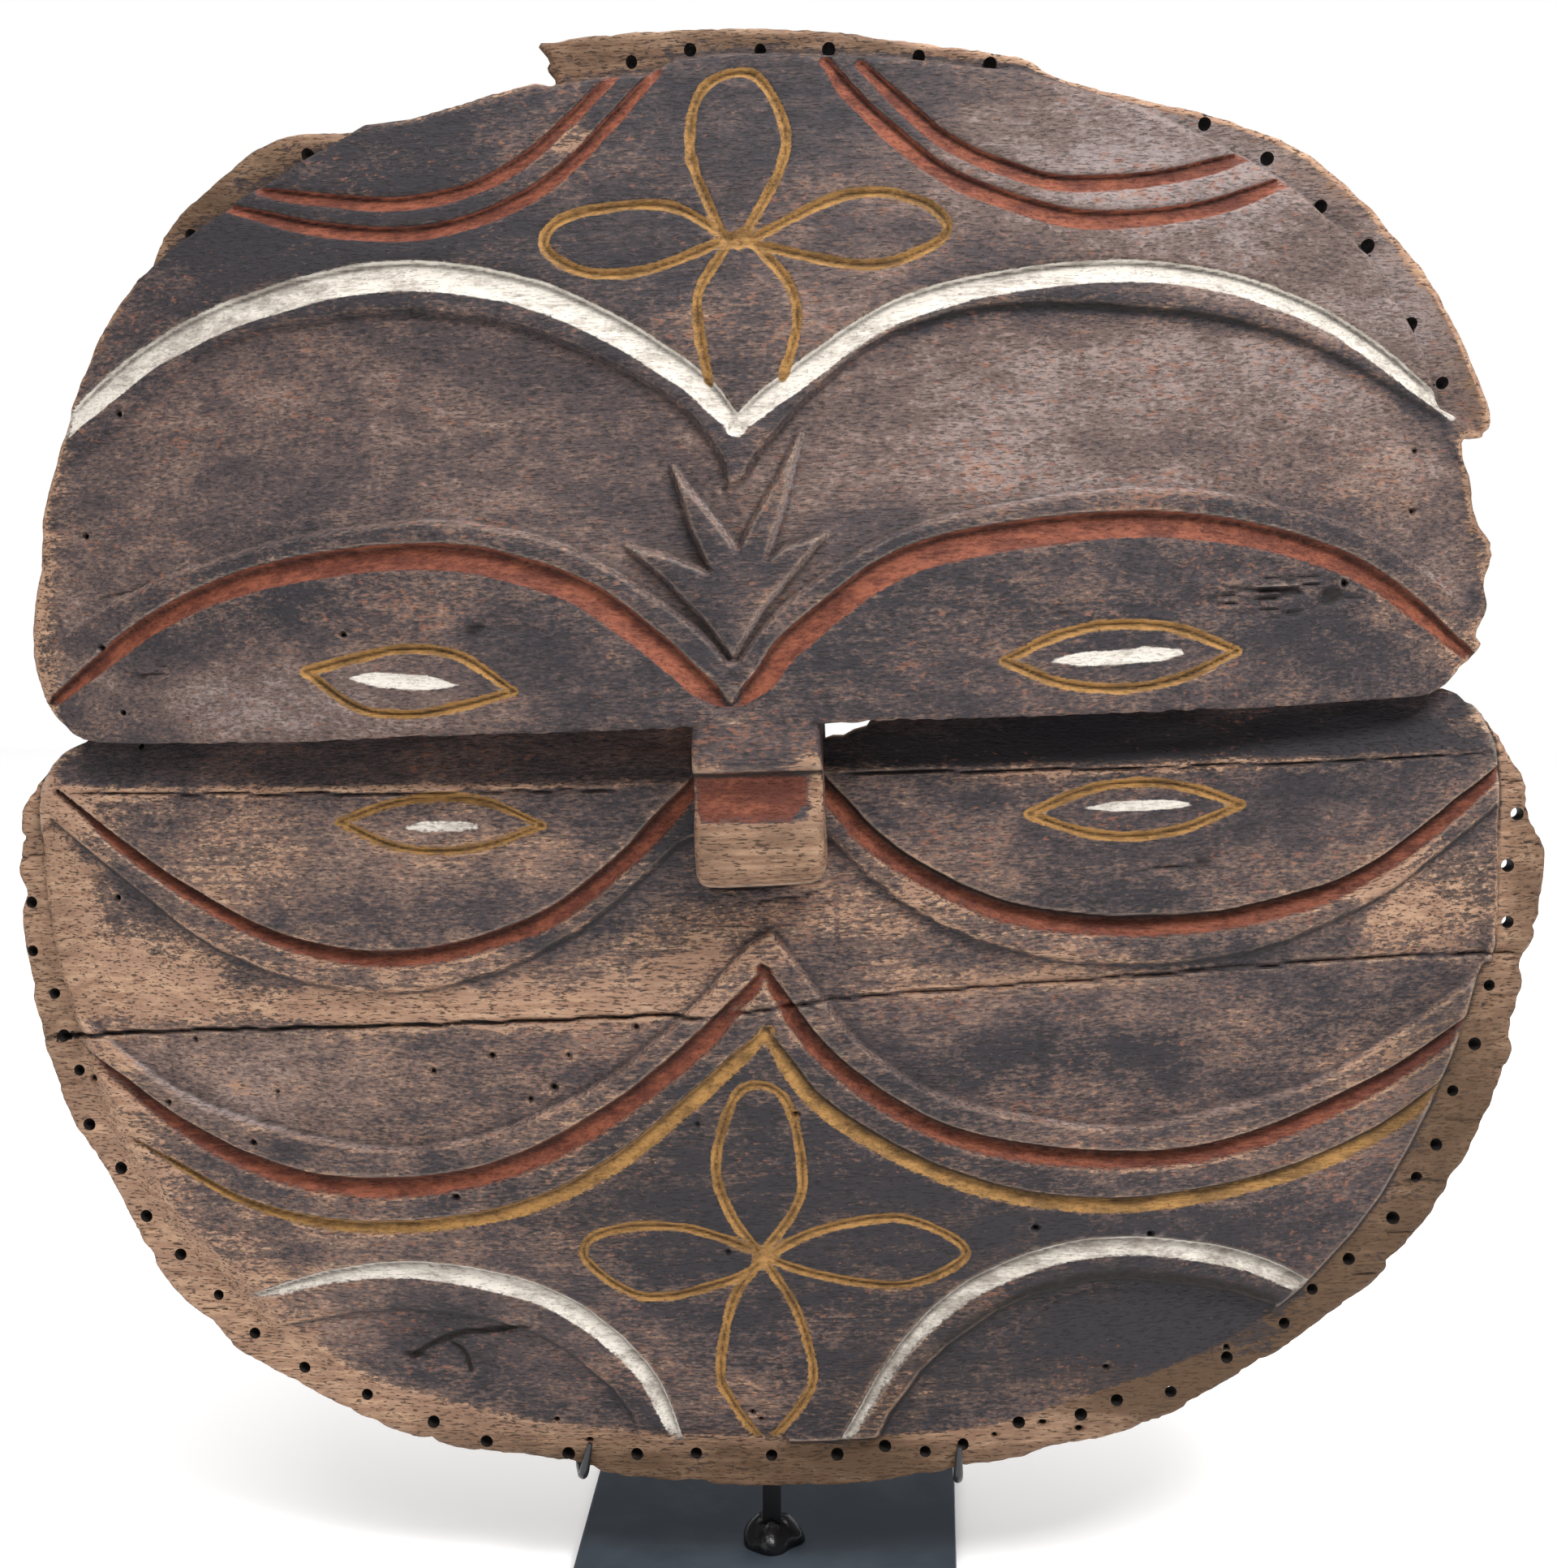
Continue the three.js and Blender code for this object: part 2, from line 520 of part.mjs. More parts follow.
function buildMask() {
  const rim = domedBlock(rimFront, 12, 10);
  const upper = domedBlock(upperFront, 12, 7, { ...BLOCK, bottom: -SEAM });
  const lower = domedBlock(lowerFront, 12, 8, { ...BLOCK, top: SEAM });
  let mask = rim.intersect(prism(upperOutline).add(prism(lowerOutline)));
  mask = mask.add(upper.intersect(prism(upperFieldOutline)));
  mask = mask.add(lower.intersect(prism(lowerFieldOutline)));

  mask = mask.subtract(ledgeCutter());
  const browDepth = (u) => BROW_PANEL_DEPTH * positive(1 - Math.pow(Math.abs(u) / HALF_HEIGHT, 4));
  const browPanel = sunkPanel([...BROW_PANEL_TOP, ...BROW_PANEL_FOOT], upperFront, browDepth);
  mask = mask.subtract(browPanel.subtract(prism(CROWN)));
  mask = mask.subtract(sunkPanel(CHEEK_PANEL, lowerFront, () => CHEEK_PANEL_DEPTH));
  for (const corner of [LEFT_CORNER_PANEL, RIGHT_CORNER_PANEL]) {
    mask = mask.subtract(sunkPanel(corner, lowerFront, () => CORNER_PANEL_DEPTH));
  }
  for (const { points, width } of UPPER_ARCS) {
    mask = mask.subtract(channel(points, upperFront, width));
  }
  for (const { points, width } of LOWER_ARCS) {
    mask = mask.subtract(channel(points, lowerFront, width));
  }
  for (const { points, stations } of UPPER_FLOWER) {
    mask = mask.subtract(drawnLine(points, upperFront, stations));
  }
  for (const { points, stations } of LOWER_FLOWER) {
    mask = mask.subtract(drawnLine(points, lowerFront, stations));
  }
  mask = mask.subtract(flowerPit(UPPER_FLOWER_CENTRE, upperFront));
  mask = mask.subtract(flowerPit(LOWER_FLOWER_CENTRE, lowerFront));
  for (const eye of EYES) {
    for (const edge of lens(eye)) mask = mask.subtract(drawnLine(edge, eye.surface, 5));
    const [from, to, height] = eye.slash;
    mask = mask.subtract(drawnLine([[from, height], [to, height]], eye.surface, 2));
  }

  mask = mask.add(noseBlock());
  for (const slit of SLITS) mask = mask.subtract(slitCutter(slit));
  mask = mask.subtract(holeCutters());
  const behind = domedBlock(backFace, 16, 18);
  return mask.subtract(behind);
}

// From the carving frame to the stand: u, v and w become X, Z and -Y, then roll and lean
function maskPlacement() {
  const turn = THREE.MathUtils.degToRad;
  const upright = new THREE.Matrix4().makeRotationX(Math.PI / 2);
  const roll = new THREE.Matrix4().makeRotationY(-turn(MASK_ROLL_DEG));
  const lean = new THREE.Matrix4().makeRotationX(-turn(MASK_LEAN_DEG));
  const place = new THREE.Matrix4().makeTranslation(MASK_ORIGIN);
  return place.multiply(lean).multiply(roll).multiply(upright);
}

function onMask(u, v, w) {
  return new THREE.Vector3(u, v, w).applyMatrix4(maskPlacement());
}

// Stand pieces
function buildPlate() {
  const side = PLATE_SIZE - 2 * PLATE_EDGE_ROUND;
  const shape = new THREE.Shape();
  shape.moveTo(-side / 2, -side / 2);
  shape.lineTo(side / 2, -side / 2);
  shape.lineTo(side / 2, side / 2);
  shape.lineTo(-side / 2, side / 2);
  const geometry = new THREE.ExtrudeGeometry(shape, {
    depth: PLATE_THICKNESS - 2 * PLATE_EDGE_ROUND, bevelEnabled: true, bevelSegments: 2,
    bevelSize: PLATE_EDGE_ROUND, bevelThickness: PLATE_EDGE_ROUND,
  });
  geometry.translate(0, 0, PLATE_EDGE_ROUND);
  return toSolid(geometry);
}

function buildPost() {
  const height = POST_TOP - PLATE_THICKNESS;
  const geometry = new THREE.BoxGeometry(POST_SIDE, POST_SIDE, height);
  geometry.translate(POST_X, 0, PLATE_THICKNESS + height / 2);
  return toSolid(geometry);
}

// The weld is a lumpy fillet round the foot of the post
function buildWeld(post) {
  const profile = [
    new THREE.Vector2(0, 0), new THREE.Vector2(WELD.footRadius, 0),
    new THREE.Vector2(WELD.footRadius - 0.6, 2), new THREE.Vector2(WELD.waistRadius, WELD.waist),
    new THREE.Vector2(WELD.topRadius, WELD.height), new THREE.Vector2(0, WELD.height),
  ];
  const geometry = new THREE.LatheGeometry(profile, WELD.sides);
  geometry.rotateX(Math.PI / 2);
  const position = geometry.attributes.position;
  for (let i = 0; i < position.count; i += 1) {
    const angle = Math.atan2(position.getY(i), position.getX(i));
    const lump = 1 + 0.1 * Math.sin(3 * angle + 0.6) + 0.06 * Math.sin(5 * angle + 2);
    position.setXYZ(i, position.getX(i) * lump + POST_X, position.getY(i) * lump,
      position.getZ(i) + PLATE_THICKNESS);
  }
  return toSolid(geometry).subtract(post);
}

// One rod is bent into two hooks that hold the lower rim, and is brazed to the front of the post
const HOOKS = [
  { u: -50, v: -189.3, armX: -47.5, tipX: -43.6 },
  { u: 43, v: -191.2, armX: 48.6, tipX: 49 },
];

function buildHookRod() {
  const radius = HOOK_ROD_DIAMETER / 2;
  const gap = radius + CLEARANCE + 0.2;
  const rodY = -POST_SIDE / 2 - radius;
  const [left, right] = HOOKS.map(({ u, v, armX, tipX }) => {
    const rim = rimFront(u, v);
    const front = onMask(u, v, rim);
    const back = onMask(u, v, rim - RIM_THICKNESS);
    return [
      new THREE.Vector3(tipX, front.y - gap, front.z + HOOK_TIP_RISE),
      new THREE.Vector3((tipX + armX) / 2, front.y - gap, front.z - gap),
      new THREE.Vector3(armX, back.y + gap, back.z - gap),
      new THREE.Vector3(armX, rodY, back.z + HOOK_ARM_RISE),
    ];
  });
  const path = new THREE.CurvePath();
  const stops = [...left, ...right.reverse()];
  let from = stops[0];
  for (let i = 1; i < stops.length - 1; i += 1) {
    const corner = stops[i];
    const enter = corner.clone().add(stops[i - 1].clone().sub(corner).setLength(HOOK_BEND));
    const leave = corner.clone().add(stops[i + 1].clone().sub(corner).setLength(HOOK_BEND));
    path.add(new THREE.LineCurve3(from, enter));
    path.add(new THREE.QuadraticBezierCurve3(enter, corner, leave));
    from = leave;
  }
  path.add(new THREE.LineCurve3(from, stops[stops.length - 1]));
  return tube(path, radius, 6);
}

// A closed tube round a path of straight pieces and bends, with domed ends
function tube(path, radius, sides) {
  const rings = [];
  for (const piece of path.curves) {
    const steps = piece.isLineCurve3 ? 1 : 2;
    for (let i = 0; i < steps; i += 1) {
      rings.push([piece.getPoint(i / steps), piece.getTangent(i / steps)]);
    }
  }
  const lastPiece = path.curves[path.curves.length - 1];
  rings.push([lastPiece.getPoint(1), lastPiece.getTangent(1)]);
  let across = new THREE.Vector3(1, 0, 0);
  const frames = rings.map(([centre, along]) => {
    across = across.clone().addScaledVector(along, -across.dot(along)).normalize();
    return { centre, along, across, upward: along.clone().cross(across), share: 1 };
  });
  const dome = 0.6 * radius;
  const cap = (frame, shift) => ({
    ...frame, centre: frame.centre.clone().addScaledVector(frame.along, shift), share: 0.5,
  });
  const shells = [cap(frames[0], -dome), ...frames, cap(frames[frames.length - 1], dome)];
  return skin(shells.map((frame) => {
    const ring = [];
    for (let j = 0; j < sides; j += 1) {
      const angle = 2 * Math.PI * j / sides;
      ring.push(frame.centre.clone()
        .addScaledVector(frame.across, Math.cos(angle) * radius * frame.share)
        .addScaledVector(frame.upward, Math.sin(angle) * radius * frame.share));
    }
    return ring;
  }));
}

// A felt pad on the post, where the beam behind the eye ledge leans
function buildRestPad() {
  const beam = onMask(0, -1, backFace(0, -1));
  const postFace = -POST_SIDE / 2;
  const thickness = postFace - beam.y - CLEARANCE;
  const geometry = new THREE.BoxGeometry(REST_PAD_WIDTH, thickness, REST_PAD_HEIGHT);
  geometry.translate(POST_X, postFace - thickness / 2, beam.z);
  return toSolid(geometry);
}

const mask = toGeometry(buildMask());
mask.applyMatrix4(maskPlacement());
const post = buildPost();
const metal = (color, roughness) => ({ color, roughness, metalness: 0.2 });
const pieces = [
  { name: 'mask', geometry: mask, color: '#6a5a4e', roughness: 0.8, metalness: 0 },
  { name: 'foot_plate', geometry: toGeometry(buildPlate()), ...metal('#34363e', 0.5) },
  { name: 'post', geometry: toGeometry(post), ...metal('#101012', 0.5) },
  { name: 'weld_bead', geometry: toGeometry(buildWeld(post)), ...metal('#15161a', 0.3) },
  { name: 'hook_rod', geometry: toGeometry(buildHookRod()), ...metal('#2a2c30', 0.35) },
  { name: 'rest_pad', geometry: toGeometry(buildRestPad()), color: '#17171a', roughness: 1, metalness: 0 },
];

// Put the origin at the bottom centre of the whole part
const bounds = new THREE.Box3();
for (const { geometry } of pieces) {
  geometry.computeBoundingBox();
  bounds.union(geometry.boundingBox);
}
const centre = bounds.getCenter(new THREE.Vector3());

const group = new THREE.Group();
group.name = 'wooden_disc_mask';
for (const { name, geometry, color, roughness, metalness } of pieces) {
  geometry.translate(-centre.x, -centre.y, -bounds.min.z);
  geometry.computeVertexNormals();
  const mesh = new THREE.Mesh(geometry, new THREE.MeshStandardMaterial({ color, roughness, metalness }));
  mesh.name = name;
  group.add(mesh);
}

export default group;
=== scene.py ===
"""A carved and painted wooden disc mask on a small steel stand, dressed round its CAD solids.

The mask is worked out in its carving frame, in millimetres: u runs to the right, v up from the lip of
the eye ledge and w out of the face. CarvingFrame sets it on the stand, in metres. Other sizes are in
millimetres too, where nothing else is said.
"""
import logging
import math
from collections.abc import Callable, Sequence
from dataclasses import dataclass, field
from enum import Enum
from typing import Any

import bmesh
import bpy
import numpy as np
from mathutils import Matrix, Vector


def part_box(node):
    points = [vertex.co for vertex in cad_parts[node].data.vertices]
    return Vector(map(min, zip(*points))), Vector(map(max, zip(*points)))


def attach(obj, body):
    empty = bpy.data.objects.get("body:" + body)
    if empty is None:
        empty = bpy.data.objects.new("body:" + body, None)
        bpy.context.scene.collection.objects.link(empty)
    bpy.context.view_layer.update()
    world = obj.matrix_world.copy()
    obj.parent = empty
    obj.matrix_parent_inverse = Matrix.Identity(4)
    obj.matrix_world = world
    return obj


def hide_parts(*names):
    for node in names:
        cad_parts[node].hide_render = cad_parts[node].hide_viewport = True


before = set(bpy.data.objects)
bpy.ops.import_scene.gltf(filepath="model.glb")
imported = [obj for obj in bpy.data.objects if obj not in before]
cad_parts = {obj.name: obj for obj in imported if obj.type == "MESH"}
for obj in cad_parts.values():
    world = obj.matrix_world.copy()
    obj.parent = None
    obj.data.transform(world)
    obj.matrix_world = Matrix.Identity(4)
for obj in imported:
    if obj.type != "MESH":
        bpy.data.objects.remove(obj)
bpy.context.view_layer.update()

MM = 0.001
# Share of a side that is cut off at each of its corners
CORNER_CUT = 0.2

Array = np.ndarray
Points = Sequence[tuple[float, float]]
Surface = Callable[[Array, Array], Array]


class Cut(Enum):
    """How one solid changes another."""

    JOIN = "UNION"
    REMOVE = "DIFFERENCE"
    KEEP_INSIDE = "INTERSECT"


# Helpers for smooth numbers and surface noise


def ease(low: float, high: float, value: Array) -> Array:
    """Gives the height of a smooth step from 0 at low to 1 at high."""
    share = np.clip((value - low) / (high - low), 0.0, 1.0)
    return share * share * (3.0 - 2.0 * share)


def rumple(u: Array, v: Array, length_u: float, length_v: float, seed: int) -> Array:
    """Gives smooth noise over the carving plane.

    Args:
        u: Places to the right.
        v: Places upwards.
        length_u: Size of a lump along u.
        length_v: Size of a lump along v.
        seed: Seed of the noise.

    Returns:
        Noise between -1 and 1.
    """
    reach = 260.0
    x = (np.clip(u, -reach, reach) + reach) / length_u
    y = (np.clip(v, -reach, reach) + reach) / length_v
    size = (int(2 * reach / length_v) + 3, int(2 * reach / length_u) + 3)
    lattice = np.random.default_rng(seed).uniform(-1.0, 1.0, size)
    column, row = x.astype(int), y.astype(int)
    across, along = ease(0.0, 1.0, x - column), ease(0.0, 1.0, y - row)
    low = lattice[row, column] * (1 - across) + lattice[row, column + 1] * across
    high = lattice[row + 1, column] * (1 - across) + lattice[row + 1, column + 1] * across
    return low * (1 - along) + high * along


def spline(points: Points, spans: int = 8) -> Array:
    """Runs a smooth line through points.

    Args:
        points: Places in the carving plane.
        spans: Straight pieces between two points.

    Returns:
        The line's places, one row each.
    """
    rows = np.array(points, float)
    ends = np.vstack([2 * rows[0] - rows[1], rows, 2 * rows[-1] - rows[-2]])
    shares = np.linspace(0.0, 1.0, spans, endpoint=False)[:, None]
    pieces = []
    for i in range(1, len(ends) - 2):
        before, start, stop, after = ends[i - 1], ends[i], ends[i + 1], ends[i + 2]
        pieces.append(
            0.5 * (2 * start + (stop - before) * shares
                   + (2 * before - 5 * start + 4 * stop - after) * shares**2
                   + (3 * start - before - 3 * stop + after) * shares**3)
        )
    return np.vstack([*pieces, rows[-1:]])


def softened(points: Points) -> Array:
    """Cuts the corners of a closed outline.

    Args:
        points: The outline's corners.

    Returns:
        The softened outline, two rows for each corner.
    """
    rows = np.array(points, float)
    following = np.roll(rows, -1, axis=0)
    kept = 1 - CORNER_CUT
    cut = np.stack([kept * rows + CORNER_CUT * following, CORNER_CUT * rows + kept * following], 1)
    return cut.reshape(-1, 2)


# The mask's carved heights, shared with its CAD solid


@dataclass(frozen=True)
class Dome:
    """Sizes of the domed disc, in millimetres, and its surfaces."""

    half_width: float = 188.0
    half_height: float = 180.0
    rim_thickness: float = 5.0
    side_fall: float = 14.0
    end_fall: float = 4.0
    field_step: float = 3.5
    lower_crown: float = 12.0
    upper_rise: float = 26.0
    upper_top: float = 184.0
    upper_side: float = 192.0
    upper_bend: float = 1.6
    wall: float = 9.0
    back_beam: float = 12.0
    beam_half_height: float = 14.0
    centre_v: float = -16.0
    hollow_half_width: float = 174.0
    hollow_half_height: float = 163.0

    def rim(self, u: Array, v: Array) -> Array:
        """Front of the thin flange round the disc."""
        return -self.side_fall * (u / self.half_width) ** 2 - self.end_fall * (v / self.half_height) ** 2

    def lower(self, u: Array, v: Array) -> Array:
        """Front of the lower half before it is carved."""
        crown = np.clip(1 - (u / self.half_width) ** 2 - (v / self.half_height) ** 2, 0, None)
        return self.rim(u, v) + self.field_step + self.lower_crown * crown

    def upper(self, u: Array, v: Array) -> Array:
        """Front of the upper half before it is carved.

        Args:
            u: Places to the right.
            v: Places upwards.

        Returns:
            Height of the surface.
        """
        across = np.clip(1 - (u / self.upper_side) ** 2, 0, None)
        along = np.clip(1 - (np.clip(v, 0, None) / self.upper_top) ** self.upper_bend, 0, None)
        return self.rim(u, v) + self.field_step + self.upper_rise * across * along

    def back(self, u: Array, v: Array) -> Array:
        """Back of the disc: hollowed, with a rounded beam behind the eye ledge.

        Args:
            u: Places to the right.
            v: Places upwards.

        Returns:
            Height of the surface.
        """
        share = ease(-20.0, 25.0, v)
        front = self.lower(u, v) * (1 - share) + self.upper(u, v) * share
        across = np.clip(1 - (u / self.half_width) ** 2, 0, None)
        beam = self.back_beam * across * np.exp(-((v / self.beam_half_height) ** 2))
        rim_back = self.rim(u, v) - self.rim_thickness
        radius = np.hypot(u / self.hollow_half_width, (v - self.centre_v) / self.hollow_half_height)
        hollow = np.clip(front - self.wall - beam - rim_back, 0, None)
        return rim_back + hollow * (1 - ease(0.8, 1.0, radius))


DOME = Dome()


@dataclass(frozen=True)
class CarvingFrame:
    """Where the mask stands: its origin on the stand, and how it leans and rolls."""

    origin_mm: tuple[float, float, float] = (-1.4, -6.6, 225.0)
    lean_deg: float = 5.0
    roll_deg: float = 2.3

    def origin(self) -> Vector:
        """Middle of the lip in the part's frame, in metres."""
        low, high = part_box("foot_plate")
        return Vector(((low.x + high.x) / 2, (low.y + high.y) / 2, low.z)) + Vector(self.origin_mm) * MM

    def turn(self) -> Matrix:
        """Turn from the carving frame to the part's frame.

        Returns:
            The rotation, as a 4 by 4 matrix.
        """
        upright = Matrix.Rotation(math.pi / 2, 4, "X")
        roll = Matrix.Rotation(-math.radians(self.roll_deg), 4, "Y")
        lean = Matrix.Rotation(-math.radians(self.lean_deg), 4, "X")
        return lean @ roll @ upright

    def placement(self) -> Matrix:
        """Carving frame in millimetres to the part's frame in metres."""
        return Matrix.Translation(self.origin()) @ self.turn() @ Matrix.Scale(MM, 4)


CARVING = CarvingFrame()


# A grid over the carving plane, on which the relief is worked out


class Raster:
    """A regular grid over part of the carving plane.

    Attributes:
        u: Grid columns.
        v: Grid rows.
        uu: Column place of every grid point.
        vv: Row place of every grid point.
        bell_reach: Widths after which a blur's bell curve is cut off.
    """

    bell_reach = 2.2

    def __init__(self, left: float, right: float, bottom: float, top: float, step: float) -> None:
        """Lays the grid out.

        Args:
            left: Lowest u.
            right: Highest u.
            bottom: Lowest v.
            top: Highest v.
            step: Distance between grid points.
        """
        self.step = step
        self.u = np.arange(left, right + step, step)
        self.v = np.arange(bottom, top + step, step)
        self.uu, self.vv = np.meshgrid(self.u, self.v)

    def near(self, line: Array, reach: float) -> tuple[Array, Array]:
        """Measures every grid point against a line.

        Args:
            line: The line's places, one row each.
            reach: How far from the line to look.

        Returns:
            The distance to the line, infinite beyond the reach and below zero on its right, and the
            share along it.
        """
        distance = np.full(self.uu.shape, np.inf)
        share = np.zeros(self.uu.shape)
        for i, (start, stop) in enumerate(zip(line[:-1], line[1:])):
            low, high = np.minimum(start, stop) - reach, np.maximum(start, stop) + reach
            columns = slice(*np.searchsorted(self.u, (low[0], high[0])))
            rows = slice(*np.searchsorted(self.v, (low[1], high[1])))
            along = stop - start
            du, dv = self.uu[rows, columns] - start[0], self.vv[rows, columns] - start[1]
            part = np.clip((du * along[0] + dv * along[1]) / max(along @ along, 1e-9), 0, 1)
            side = np.where(along[0] * dv - along[1] * du < 0, -1.0, 1.0)
            gap = side * np.hypot(du - part * along[0], dv - part * along[1])
            closer = np.abs(gap) < np.abs(distance[rows, columns])
            distance[rows, columns][closer] = gap[closer]
            share[rows, columns][closer] = (i + part[closer]) / (len(line) - 1)
        distance[np.abs(distance) > reach] = np.inf
        return distance, share

    def inside(self, outline: Array) -> Array:
        """Tells which grid points lie inside a closed outline.

        Args:
            outline: Corners of the outline, one row each.

        Returns:
            True at every point inside.
        """
        filled = np.zeros(self.uu.shape, bool)
        for start, stop in zip(outline, np.roll(outline, -1, axis=0)):
            low, high = sorted((start[1], stop[1]))
            rows = slice(*np.searchsorted(self.v, (low, high)))
            if high - low < 1e-9:
                continue
            crossing = start[0] + (self.v[rows] - start[1]) * (stop[0] - start[0]) / (stop[1] - start[1])
            filled[rows] ^= self.u[None, :] > crossing[:, None]
        return filled

    def signed(self, outline: Array, reach: float = 8.0) -> Array:
        """Measures every grid point against a closed outline.

        Args:
            outline: Corners of the outline, one row each.
            reach: Largest distance given.

        Returns:
            The distance to the outline, positive inside it.
        """
        distance, _ = self.near(np.vstack([outline, outline[:1]]), reach)
        distance = np.minimum(np.abs(distance), reach)
        return np.where(self.inside(outline), distance, -distance)

    def smoothed(self, layer: Array, width: float) -> Array:
        """Blurs a layer by a bell curve.

        Args:
            layer: Value at every grid point.
            width: Width of the bell curve.

        Returns:
            The blurred layer.
        """
        count = max(1, int(round(self.bell_reach * width / self.step)))
        weights = np.exp(-((np.arange(-count, count + 1) * self.step / width) ** 2))
        weights /= weights.sum()
        result = layer
        for axis in (0, 1):
            padding = [(count, count) if axis == side else (0, 0) for side in (0, 1)]
            padded = np.pad(result, padding, mode="edge")
            size = result.shape[axis]
            result = sum(
                weight * np.take(padded, range(i, i + size), axis=axis) for i, weight in enumerate(weights)
            )
        return result

    def sample(self, layer: Array, u: Array, v: Array) -> Array:
        """Reads a layer between grid points.

        Args:
            layer: Value at every grid point.
            u: Places to the right.
            v: Places upwards.

        Returns:
            The layer's value at each place.
        """
        x = np.clip((u - self.u[0]) / self.step, 0, len(self.u) - 1.001)
        y = np.clip((v - self.v[0]) / self.step, 0, len(self.v) - 1.001)
        column, row = x.astype(int), y.astype(int)
        across, along = x - column, y - row
        low = layer[row, column] * (1 - across) + layer[row, column + 1] * across
        high = layer[row + 1, column] * (1 - across) + layer[row + 1, column + 1] * across
        return low * (1 - along) + high * along


# Carved forms that the relief is made of


class Pigment(Enum):
    """Pigments rubbed into the carved channels."""

    RED = "red"
    WHITE = "white"
    OCHRE = "ochre"


RED, WHITE, OCHRE = Pigment


@dataclass(frozen=True)
class Channel:
    """A gouge channel along a smooth line, with sloping sides and a flat floor.

    Attributes:
        pigment: Pigment in the channel.
        widths: Width at its start, its quarters and its end.
        points: Places on its middle line, from left to right.
        depth: Depth of its floor.
        worn: How far the pigment is rubbed off its lower slope.
        painted_shadow: How black its upper corner is painted, as shade under its steep upper wall.
        lean: Where its floor is deepest, from -1 at its lower edge to 1 at its upper one.
        taper: How far its ends narrow.
    """

    pigment: Pigment
    widths: tuple[float, float, float, float, float]
    points: Points
    depth: float = 2.6
    worn: float = 0.05
    painted_shadow: float = 0.5
    lean: float = 0.72
    taper: float = 0.25


@dataclass(frozen=True)
class Line:
    """A thin line cut with a knife.

    Attributes:
        pigment: Pigment in the line.
        points: Places on the line.
        width: Width of the line.
        depth: Depth of the line.
        spread: How far the paint has spread past the line.
        taper: How far its ends narrow.
    """

    pigment: Pigment
    points: Points
    width: float = 2.3
    depth: float = 1.5
    spread: float = 0.1
    taper: float = 0.0


@dataclass(frozen=True)
class Panel:
    """A field sunk below the carved face.

    Attributes:
        points: Corners of its outline.
        depth: Depth of its floor.
        slope: Width of the slope down to its floor.
        shadow: Width of the painted shadow in its upper corner.
    """

    points: Points
    depth: float
    slope: float
    shadow: float = 0.8


@dataclass(frozen=True)
class Patch:
    """A soft oval of wear, or of paint that has stayed.

    Attributes:
        u: Middle, to the right.
        v: Middle, upwards.
        half_u: Half its width.
        half_v: Half its height.
        amount: How much barer the wood is, negative where paint has stayed.
    """

    u: float
    v: float
    half_u: float
    half_v: float
    amount: float

    def share(self, raster: Raster, power: float = 2) -> Array:
        """Gives the oval's strength, 1 in its middle; a higher power makes the middle flatter."""
        du, dv = (raster.uu - self.u) / self.half_u, (raster.vv - self.v) / self.half_v
        return np.exp(-((du**2 + dv**2) ** power))


@dataclass(frozen=True)
class Crack:
    """A drying crack or a scratch.

    Attributes:
        points: Places along it.
        width: Width at the surface.
        depth: Depth.
        dark: How black it is inside.
    """

    points: Points
    width: float = 0.9
    depth: float = 2.6
    dark: float = 1.0


def patches(*rows: tuple[float, float, float, float, float]) -> list[Patch]:
    """Makes a patch of each row of five numbers."""
    return [Patch(*row) for row in rows]


def eye(left: tuple[float, float], right: tuple[float, float], rise: float) -> list[Line]:
    """Draws the two edges of a lens-shaped eye.

    Args:
        left: Left corner.
        right: Right corner.
        rise: Height of the lens above its corners.

    Returns:
        The upper and the lower edge.
    """
    middle_u, middle_v = (left[0] + right[0]) / 2, (left[1] + right[1]) / 2
    quarter = (right[0] - left[0]) / 4
    edges = []
    for height in (rise, -rise):
        shoulder = middle_v + 0.76 * height
        points = (left, (middle_u - quarter, shoulder), (middle_u, middle_v + height),
                  (middle_u + quarter, shoulder), right)
        edges.append(Line(Pigment.OCHRE, points))
    return edges


